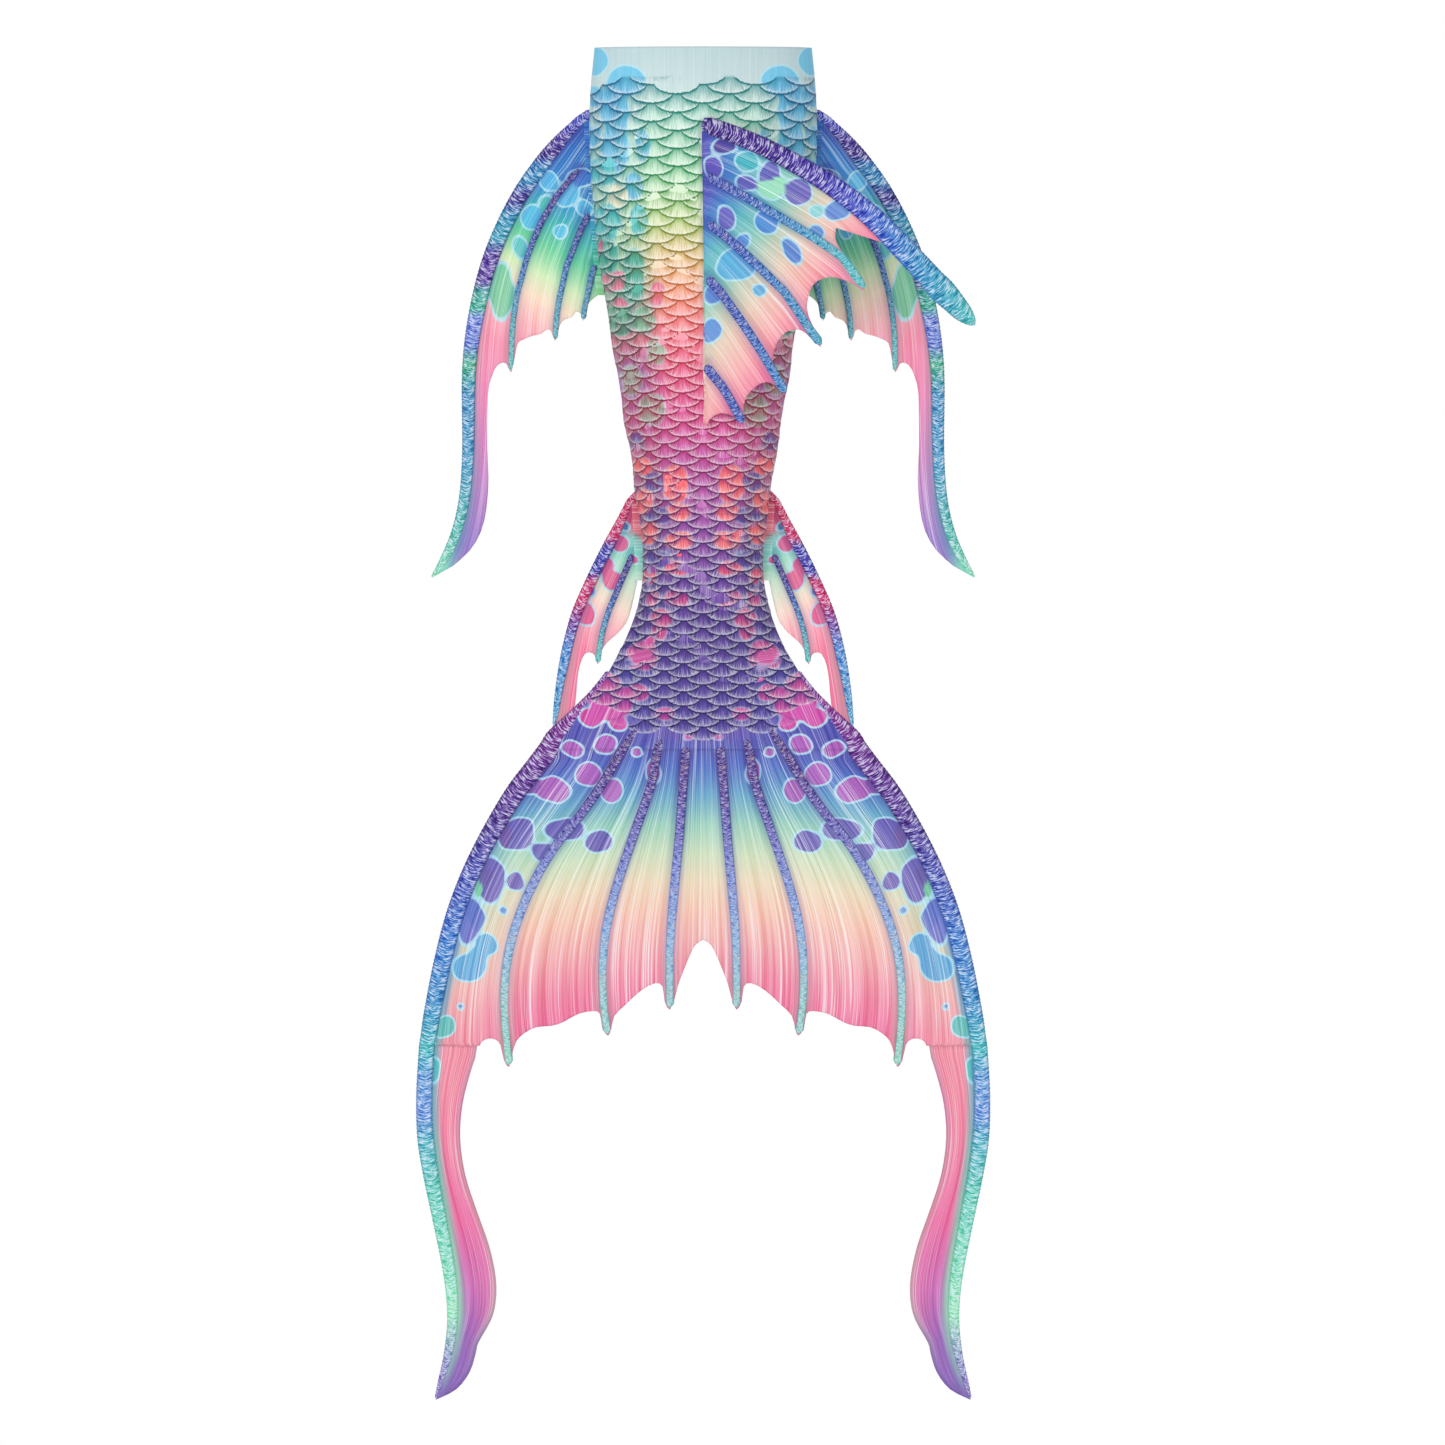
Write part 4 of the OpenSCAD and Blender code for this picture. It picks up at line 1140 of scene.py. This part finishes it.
def make_tubes(name, parts, colour_at, material):
    """One piece of one or more padded tubes. parts holds what tube_rings takes."""
    points, faces, run, turn, first = [], [], [], [], 0
    for part in parts:
        rings, want, ca = tube_rings(**part)
        rows, around = rings.shape[:2]
        points.append(rings.reshape(-1, 3))
        run.append(np.repeat(want, around))
        turn.append(np.tile(ca, rows))
        j = np.arange(around)
        for i in range(rows - 1):
            a, b = first + i * around + j, first + i * around + (j + 1) % around
            faces += [tuple(q) for q in np.stack([a, a + around, b + around, b], 1)]
        faces.append(tuple(first + j))
        faces.append(tuple((first + (rows - 1) * around + j)[::-1]))
        first += rows * around
    points = np.concatenate(points)
    obj = new_object(name, points, faces)
    tidy_normals(obj)
    give(obj, "run", np.concatenate(run))
    give(obj, "turn", np.concatenate(turn))
    give(obj, "base", linear(np.clip(colour_at(points[:, 0], points[:, 2]), 0, 1)))
    obj.data.materials.append(material)
    return obj


def fluke_strip(x, z):
    return ramp(z, """
        -2030 56 42 76, -1980 60 60 80, -1900 66 90 78, -1720 46 82 76, -1640 40 74 80, -1600 46 62 86,
        -1540 44 66 84, -1500 30 76 78, -1440 30 62 80, -1340 30 55 82, -1240 36 40 74, -1160 38 26 62,
        -1080 46 24 62, -980 60 24 62, -920 46 28 64""")


def fluke_ray_colour(x, z):
    return ramp(z, """
        -1530 62 84 78, -1420 62 80 82, -1330 58 71 86, -1240 52 58 82, -1150 42 38 70, -1080 38 27 60,
        -1040 36 25 58""")


def hip_strip(x, z):
    return ramp(z, """
        -800 62 88 76, -720 42 76 74, -620 36 66 80, -520 34 62 78, -475 36 74 62, -445 48 56 84,
        -405 48 56 84, -390 34 74 66, -365 36 70 68, -350 42 30 66, -310 42 30 66, -285 26 66 74,
        -250 26 62 76, -225 32 22 60, -200 26 60 76, -175 28 56 76, -160 32 20 58, -140 34 24 62,
        -110 40 42 80""")


def fin_ray_colour(top, bottom):
    def colour(x, z):
        t = smooth((z - bottom) / (top - bottom))[:, None]
        dark, mid, tip = map(np.array, ((0.32, 0.22, 0.60), (0.26, 0.48, 0.74), (0.42, 0.76, 0.76)))
        return np.where(t > 0.5, mid + (dark - mid) * (2 * t - 1), tip + (mid - tip) * 2 * t)
    return colour


def dorsal_strip(x, z):
    return ramp(x, """
        0 34 20 58, 100 32 18 60, 170 36 28 70, 230 32 38 78, 280 28 50 81, 330 24 62 79, 410 34 77 75""")


def dorsal_ray_colour(x, z):
    return ramp(x, """
        0 30 34 70, 60 28 42 74, 140 28 60 78, 220 38 76 78""")


def ankle_strip(x, z):
    return ramp(z, """
        -1020 34 66 80, -900 34 58 82, -860 55 30 66, -830 82 26 52, -800 80 26 52, -785 34 32 72,
        -750 34 32 72, -735 80 26 50, -680 84 28 48""")


# ---------- build ----------

make_camera()
SCALE_MATERIAL = scale_material()
FIN_MATERIAL = fin_material("fin_print")
FLUKE_MATERIAL = fin_material("fluke_print")
EDGE_MATERIAL = piping_material("edge_print")
RAY_MATERIAL = piping_material("ray_print", gold=0.5)
make_studio()

side_line = {}
for side in ("left", "right"):
    for part, axis in (("fluke_edge", 2), ("tip_edge", 2), ("hip_fin_edge", 2), ("ankle_fin_edge", 2)):
        side_line[part, side] = centre_line(f"{part}_{side}", axis)
DORSAL_LINE = centre_line("dorsal_fin_edge", 0)


def FLUKE_SIDE(z):
    """How far out the tail fin's piping has its inner side, at a height."""
    pts = np.concatenate([side_line["fluke_edge", "right"][0], side_line["tip_edge", "right"][0]])
    half = np.concatenate([side_line["fluke_edge", "right"][1], side_line["tip_edge", "right"][1]])
    order = np.argsort(pts[:, 1])
    return np.interp(z, pts[order, 1], pts[order, 0] - half[order])


ray_lines = {(n, s): centre_line(f"fluke_ray_{s}_{n}", 2, side=-1)
             for n in (1, 2, 3) for s in ("left", "right")}
fluke_lines = [side_line["fluke_edge", "left"][0]] + [ray_lines[n, "left"][0] for n in (3, 2, 1)]
fluke_lines += [ray_lines[n, "right"][0] for n in (1, 2, 3)] + [side_line["fluke_edge", "right"][0]]

# heights between which the cloth turns from one body to the next
KNEE = (-0.556, -0.650)
ANKLE = (-0.806, -0.858)
BLADE = (-1.036, -1.052)
TIP = (-1.497, -1.507)
for name, z_top, z_bottom, panels, bodies, bend in (
    ("tail_upper", 0.0, -0.700, ("skin_upper", "knee_panel"), ("upper_body", "lower_leg"), KNEE),
    ("tail_lower", -0.700, -0.900, ("skin_lower", "ankle_panel"), ("lower_leg", "foot"), ANKLE),
    ("tail_foot", -0.900, FLUKE_TOP, ("skin_foot",), ("foot", "fluke"), BLADE),
):
    make_tube(name, z_top, z_bottom, [f"{n}_{s}" for n in panels for s in ("back", "front")], bodies, *bend)


def blade_room(x, z):
    """Least half thickness that keeps the tail fin's fabric off the blade inside it."""
    ring = cap_outline("fluke_blade")
    near = inside_ring(x, z, ring) | (ring_distance(x, z, ring) < 0.004)
    return np.where(near, 0.0023, 0.0)


RAY_TALL = 0.0042  # how far the tail fin's rays stand proud
RAY_RUN = [0, 0.1, 0.5, 0.85, 1]  # places along a ray, from its top, where its height is given
RAY_TOP = {1: -1.046, 2: -1.034, 3: -1.016}  # where the rays come out from under the scales
TIP_TOP = TIP[0]
fluke_ring = cap_outline("fluke_skin_back")
fluke_ring[(np.abs(fluke_ring[:, 1] - TIP_TOP) < 0.007) & (np.abs(fluke_ring[:, 0]) > 0.39), 1] = TIP_TOP
fluke, area, flat = make_fin("fluke_membrane", fluke_ring, fluke_lines, 2, 0.0, FLUKE_HALF, 0.0012,
                             fluke_colours, FLUKE_MATERIAL, per_panel=30, gap=blade_room,
                             billow=0.0012, joined=(TIP_TOP, FLUKE_TOP), glow=fluke_ray_colour,
                             widths=[0.012] + [0.0068] * 6 + [0.012])
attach(fluke, "fluke")
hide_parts("fluke_skin_back", "fluke_skin_front")

JOIN_CLEAR = 0.014  # how far the pipings' own round ends reach from the streamer's hinge
joins = {}
for side, sign in (("left", -1), ("right", 1)):
    # the leading edge's piping, carried up beside the feet where the fabric flattens
    pts, half = side_line["fluke_edge", side]
    lead_z = np.linspace(-0.935, -1.050, 20)
    lead_w = np.interp(lead_z, [-1.05, -0.935], [0.0155, 0.003])
    lead_x = np.interp(-lead_z, -LEVEL_Z, LEVEL_WIDTH) + 0.003 - 0.6 * lead_w
    keep = (pts[:, 1] < -1.075) & (pts[:, 1] > TIP_TOP + JOIN_CLEAR)
    half = half * np.interp(pts[:, 1], [-1.49, -1.46, -1.2, -1.075], [1.0, 1.08, 1.12, 1.25])
    line = np.concatenate([np.stack([sign * lead_x, lead_z], 1), pts[keep]])
    widths = np.concatenate([lead_w, half[keep]])
    thick = np.interp(line[:, 1], [-1.50, -1.06, -0.935], [0.0065, 0.0062, 0.0025])
    slope = (line[-1] - line[-4]) / (line[-1, 1] - line[-4, 1])
    join = line[-1] + slope * (TIP_TOP - 0.0008 - line[-1, 1])
    line = np.concatenate([line, [join]])
    widths, thick = np.append(widths, widths[-1]), np.append(thick, thick[-1])
    joins[side] = join, widths[-1]
    edge = make_tubes(f"fluke_piping_{side}",
                      [dict(line=line, half_w=widths, half_t=thick, middle=0.0, cut=("end",))],
                      fluke_strip, EDGE_MATERIAL)
    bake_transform(edge)
    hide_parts(f"fluke_edge_{side}")
    for n in (1, 2, 3):
        pts, half = ray_lines[n, side]
        height = RAY_TALL * np.interp(np.linspace(0, 1, len(pts)), RAY_RUN, [0.5, 0.9, 1, 0.85, 0.4])
        surface = FLUKE_HALF - 0.0008
        low = pts[:, 1] < -1.104
        run = (pts[3] - pts[12]) / (pts[3] - pts[12])[1]
        up_z = np.linspace(RAY_TOP[n], -1.0575, 5)
        up = np.stack([pts[1, 0] + run[0] * (up_z - pts[1, 1]), up_z], 1)
        line = np.concatenate([up, pts[2:]])
        width = 0.0070 * np.interp(np.linspace(0, 1, len(line)), [0, 0.05, 0.6, 1], [0.7, 1, 0.98, 0.72])
        tall = np.interp(np.linspace(0, 1, len(line)), RAY_RUN, [0.3, 0.9, 1, 0.85, 0.4]) * RAY_TALL
        parts = [dict(line=line, half_w=width, half_t=tall, middle=-surface, rib_pitch=0.0045, rib=0.0003),
                 dict(line=pts[low], half_w=0.0068 + 0 * half[low], half_t=height[low], middle=surface,
                      rib_pitch=0.0045, rib=0.0003)]
        ray = make_tubes(f"fluke_rib_{side}_{n}", parts, fluke_ray_colour, RAY_MATERIAL)
        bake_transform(ray)
        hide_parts(f"fluke_ray_{side}_{n}")
    # streamers
    ring = cap_outline(f"tip_skin_{side}")
    ring[ring[:, 1] > -1.512, 1] = TIP_TOP
    inner = ring[ring[:, 1] < -1.50]
    levels = np.linspace(-1.50, inner[:, 1].min() + 0.004, 60)
    slices = chords(f"tip_skin_{side}", np.minimum(levels, -1.5075), 2, 0)
    inside = np.array([[(c[0] if sign > 0 else c[1]), z] for c, z in zip(slices, levels) if c])
    lines = [inside, side_line["tip_edge", side][0]]
    tip, area, flat = make_fin(f"streamer_{side}", ring, lines, 2, 0.0, FLUKE_HALF, 0.0012, fluke_colours,
                               FLUKE_MATERIAL, per_panel=34, billow=0.0014,
                               joined=(TIP_TOP,), glow=fluke_strip, widths=[0.0, 0.012])
    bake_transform(tip)
    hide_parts(f"tip_skin_{side}")
    pts, half = side_line["tip_edge", side]
    join, width = joins[side]
    keep = pts[:, 1] < TIP_TOP - JOIN_CLEAR
    pts = np.concatenate([[[join[0], TIP_TOP]], pts[keep]])
    half = np.concatenate([[width], half[keep]])
    thick = np.interp(pts[:, 1], [-2.03, -1.95, -1.75, -1.5], [0.0018, 0.003, 0.0045, 0.0065])
    edge = make_tubes(f"streamer_piping_{side}",
                      [dict(line=pts, half_w=half, half_t=thick, middle=0.0, cut=("start",))],
                      fluke_strip, EDGE_MATERIAL)
    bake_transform(edge)
    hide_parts(f"tip_edge_{side}")


def ray_parts(node, axis, middle, width, thin=0.0016, tall=0.0052):
    """The padded rays of a fin, one tube through the fin for each."""
    parts = []
    for group in islands(node):
        if group[:, 1].mean() > middle:
            continue  # the front halves: each tube is whole
        level, other = (group[:, 0], group[:, 2]) if axis == 0 else (group[:, 2], group[:, 0])
        base = np.abs(group[:, 1] - group[:, 1].max()) < 4e-4
        a, b = level[base], other[base]
        bins = np.linspace(level.min(), level.max(), 12)
        pts, half = [], []
        for low, high in zip(bins[:-1], bins[1:]):
            near = (a >= low - 1e-5) & (a <= high + 1e-5)
            if near.sum() < 2:
                continue
            pts.append((a[near].mean(), b[near].mean()))
            half.append(width)
        pts = [(level.min(), other[np.argmin(level)])] + pts + [(level.max(), other[np.argmax(level)])]
        half = [width * 0.7] + half + [width * 0.5]
        pts, half = np.array(pts), np.array(half)
        if axis == 2:
            half[0], half[-1] = half[-1], half[0]
            pts, half = pts[::-1, ::-1], half[::-1]
        taper = np.linspace(0, 1, len(pts))
        parts.append(dict(line=pts, half_w=half * np.interp(taper, [0, 0.15, 0.8, 1], [0.9, 1.0, 0.9, 0.9]),
                          half_t=np.interp(taper, [0, 0.2, 0.8, 1],
                                           [thin + 0.001, tall, tall * 0.85, thin + 0.0004]),
                          middle=middle, rib_pitch=0.0045, rib=0.00025))
    return parts


FLAPS = {}
for joint in frame["joints"]:
    if joint["name"].endswith("_flap"):
        pivot, axis = np.array(joint["pos_m"]), np.array(joint["axis"])
        sign = math.copysign(1, pivot[0])
        outwards = np.array([axis[2], 0, -axis[0]]) * math.copysign(1, axis[2]) * sign
        outwards /= np.linalg.norm(outwards)
        FLAPS[joint["child"]] = (joint["parent"], pivot, axis, sign, tuple(pivot - outwards * 0.006),
                                 tuple(pivot + outwards * 0.001))


def reach_tube(line, half, thick, rise):
    """A side fin's piping, run on until it meets the tube's side. rise is its slope there, in degrees."""
    slope = math.radians(rise)
    away = np.array([-math.copysign(math.cos(slope), line[1][0]), math.sin(slope)])
    for length in np.linspace(0.002, 0.05, 49):
        end = line[1] + away * length
        if abs(end[0]) < np.interp(-end[1], -LEVEL_Z, LEVEL_WIDTH) - 0.006:
            break
    return (np.concatenate([[end], line[1:]]), np.concatenate([[half[2]], half[2:3], half[2:]]),
            np.concatenate([[thick[2]], thick[2:3], thick[2:]]))


PIPING_HALF_T = 0.0062  # half the thickness of a small fin's piping, where it is thickest


def add_fin(stem, side, body, colours, strip_colour, ray_colour, axis, middle, ray_node, ray_half, wider,
            rise=0):
    """One side fin or the dorsal fin, with its piping and its rays. wider is how much wider its piping is
    than the CAD's, and rise is for reach_tube."""
    tail = f"_{side}" if side else ""
    edge_pts, edge_half = side_line[stem + "_edge", side] if side else DORSAL_LINE
    parts = ray_parts(ray_node, axis, middle, ray_half, tall=0.0052 if side else 0.0040)
    edge_half = edge_half * wider
    parts.sort(key=lambda p: p["line"][:, 0].mean() if axis == 2 else p["line"][:, 1].mean())
    if side == "left":
        lines = [edge_pts] + [p["line"] for p in parts]
    else:
        lines = [p["line"] for p in parts] + [edge_pts]
    ring = cap_outline(f"{stem}_skin{tail}")
    fin, area, flat = make_fin(f"{stem}_membrane{tail}", ring, lines, axis, middle, 0.0015, 0.0008, colours,
                               FIN_MATERIAL, per_panel=24, billow=0.0012, glow=ray_colour,
                               widths=[0.011 if line is edge_pts else ray_half for line in lines])
    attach(fin, body)
    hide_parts(f"{stem}_skin{tail}")
    s = np.linspace(0, 1, len(edge_pts))
    thick = PIPING_HALF_T * np.interp(s, [0, 0.12, 0.25, 0.75, 1], [0.35, 0.55, 1, 0.8, 0.28])
    if side:
        edge_pts, edge_half, thick = reach_tube(edge_pts, edge_half, thick, rise)
    part = dict(line=edge_pts, half_w=edge_half, half_t=thick, middle=middle)
    edge = make_tubes(f"{stem}_piping{tail}", [part], strip_colour, EDGE_MATERIAL)
    if side:
        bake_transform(edge)
    else:
        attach(edge, body)
    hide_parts(f"{stem}_edge{tail}")
    ribs = make_tubes(f"{stem}_ribs{tail}", parts, ray_colour, RAY_MATERIAL)
    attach(ribs, body)
    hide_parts(ray_node)


for side in ("left", "right"):
    add_fin("hip_fin", side, f"hip_fin_{side}", hip_colours, hip_strip, fin_ray_colour(-0.18, -0.48),
            2, 0.0, f"hip_fin_rays_{side}", 0.0046, 1.2, rise=33)
    add_fin("ankle_fin", side, f"ankle_fin_{side}", ankle_colours, ankle_strip, fin_ray_colour(-0.76, -0.92),
            2, 0.0, f"ankle_fin_ray_{side}", 0.0046, 1.15, rise=46)
DORSAL_Y = sum((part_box("dorsal_fin_skin")[k][1] for k in (0, 1)), 0.0) / 2
add_fin("dorsal_fin", "", "dorsal_fin", dorsal_colours, dorsal_strip, dorsal_ray_colour, 0, DORSAL_Y,
        "dorsal_fin_rays", 0.0074, 1.2)


def make_web(name, inner, outer, colours, half_t=0.0012):
    """The seam's fabric between the tube and a fin.
    inner and outer are lines of (x, y, z) points, top to bottom."""
    across = 7
    share = np.linspace(0, 1, across)[:, None, None]
    sheet = inner[None] * (1 - share) + outer[None] * share
    n = sheet.shape[1]
    normal = np.cross(outer - inner, np.gradient(inner, axis=0))
    normal /= np.maximum(np.linalg.norm(normal, axis=1, keepdims=True), 1e-9)
    points = np.concatenate([(sheet + normal[None] * half_t).reshape(-1, 3),
                             (sheet - normal[None] * half_t).reshape(-1, 3)])
    faces, m = [], across * n
    for i in range(across - 1):
        for j in range(n - 1):
            a, b = i * n + j, (i + 1) * n + j
            faces += [(a, b, b + 1, a + 1), (a + m, a + 1 + m, b + 1 + m, b + m)]
    rim = [i * n for i in range(across)] + [(across - 1) * n + j for j in range(1, n)]
    rim += [i * n + n - 1 for i in reversed(range(across - 1))] + list(reversed(range(1, n - 1)))
    faces += [(a, a + m, b + m, b) for a, b in zip(rim, rim[1:] + rim[:1])]
    obj = new_object(name, points, faces)
    tidy_normals(obj)
    dress_print(obj, colours)
    for label in ("fan", "along"):
        give(obj, label, points[:, 2] * 6)
    give(obj, "nearray", np.zeros(len(points)))
    give(obj, "ray_shade_colour", np.zeros((len(points), 3)))
    obj.data.materials.append(FIN_MATERIAL)
    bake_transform(obj)


WEB_IN = 0.003  # how far a web reaches into the tube's side, so that no gap shows
for child, (parent, pivot, axis, sign, start, end) in FLAPS.items():
    stem, side = child.rsplit("_", 1)
    z = np.linspace(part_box(f"{stem}_skin_{side}")[1][2] + 0.002, pivot[2] + 0.001, 60)
    root = pivot[0] + axis[0] / axis[2] * (z - pivot[2])
    side_x = np.interp(-z, -LEVEL_Z, LEVEL_WIDTH) - WEB_IN
    inner = np.stack([sign * side_x, 0 * z, z], 1)
    outer = np.stack([root + sign * 0.002, 0 * z, z], 1)
    make_web(f"{child}_root", inner, outer, hip_colours if stem == "hip_fin" else ankle_colours)
# the dorsal fin's seam: a narrow standing web in the middle of the back
dorsal_z = np.linspace(-0.107, -0.566, 90)
back_y = np.array([np.interp(0.0, *half_ring(z, 0)[:2]) for z in dorsal_z])
inner = np.stack([0 * dorsal_z, back_y + WEB_IN, dorsal_z], 1)
outer = np.stack([0 * dorsal_z + 0.0055, 0 * dorsal_z + DORSAL_Y, dorsal_z], 1)
make_web("dorsal_fin_root", inner, outer, dorsal_colours)

# ---------- the rest of the CAD nodes ----------

FINISHES = {  # display colour, roughness, how much the colour varies, metallic
    "waist_elastic": ((0.95, 0.95, 0.95), 0.8, 0.05, 0.0),
    "hem_facing": ((0.86, 0.93, 0.94), 0.75, 0.04, 0.0),
    "gripper_silicone": ((0.86, 0.88, 0.90), 0.35, 0.03, 0.0),
    "white_ribbon": ((0.95, 0.95, 0.95), 0.6, 0.04, 0.0),
    "blade_plastic": ((0.80, 0.86, 0.90), 0.25, 0.03, 0.0),
    "pocket_rubber": ((0.10, 0.12, 0.14), 0.6, 0.08, 0.0),
    "strap_rubber": ((0.12, 0.14, 0.16), 0.55, 0.08, 0.0),
    "sole_plastic": ((0.20, 0.21, 0.23), 0.45, 0.06, 0.0),
    "screw_steel": ((0.75, 0.75, 0.76), 0.3, 0.04, 1.0),
    "zip_tape": ((0.45, 0.40, 0.72), 0.8, 0.06, 0.0),
    "zip_teeth": ((0.62, 0.55, 0.82), 0.4, 0.04, 0.0),
    "zip_metal": ((0.80, 0.80, 0.82), 0.28, 0.04, 1.0),
}
slot_of = {n: m.get("slot") for m in frame["record"].get("materials", []) for n in m.get("nodes", [])}
finished = {}
for name, obj in NODES.items():
    if obj.hide_render:
        continue
    slot_name = slot_of.get(name) or next((s for s in FINISHES if s.split("_")[0] in name), "blade_plastic")
    rgb, rough, variation, metal = FINISHES.get(slot_name, FINISHES["blade_plastic"])
    if slot_name not in finished:
        finished[slot_name] = plain_material(slot_name, rgb, rough, variation, metal)
    obj.data.materials.clear()
    obj.data.materials.append(finished[slot_name])

low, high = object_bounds()
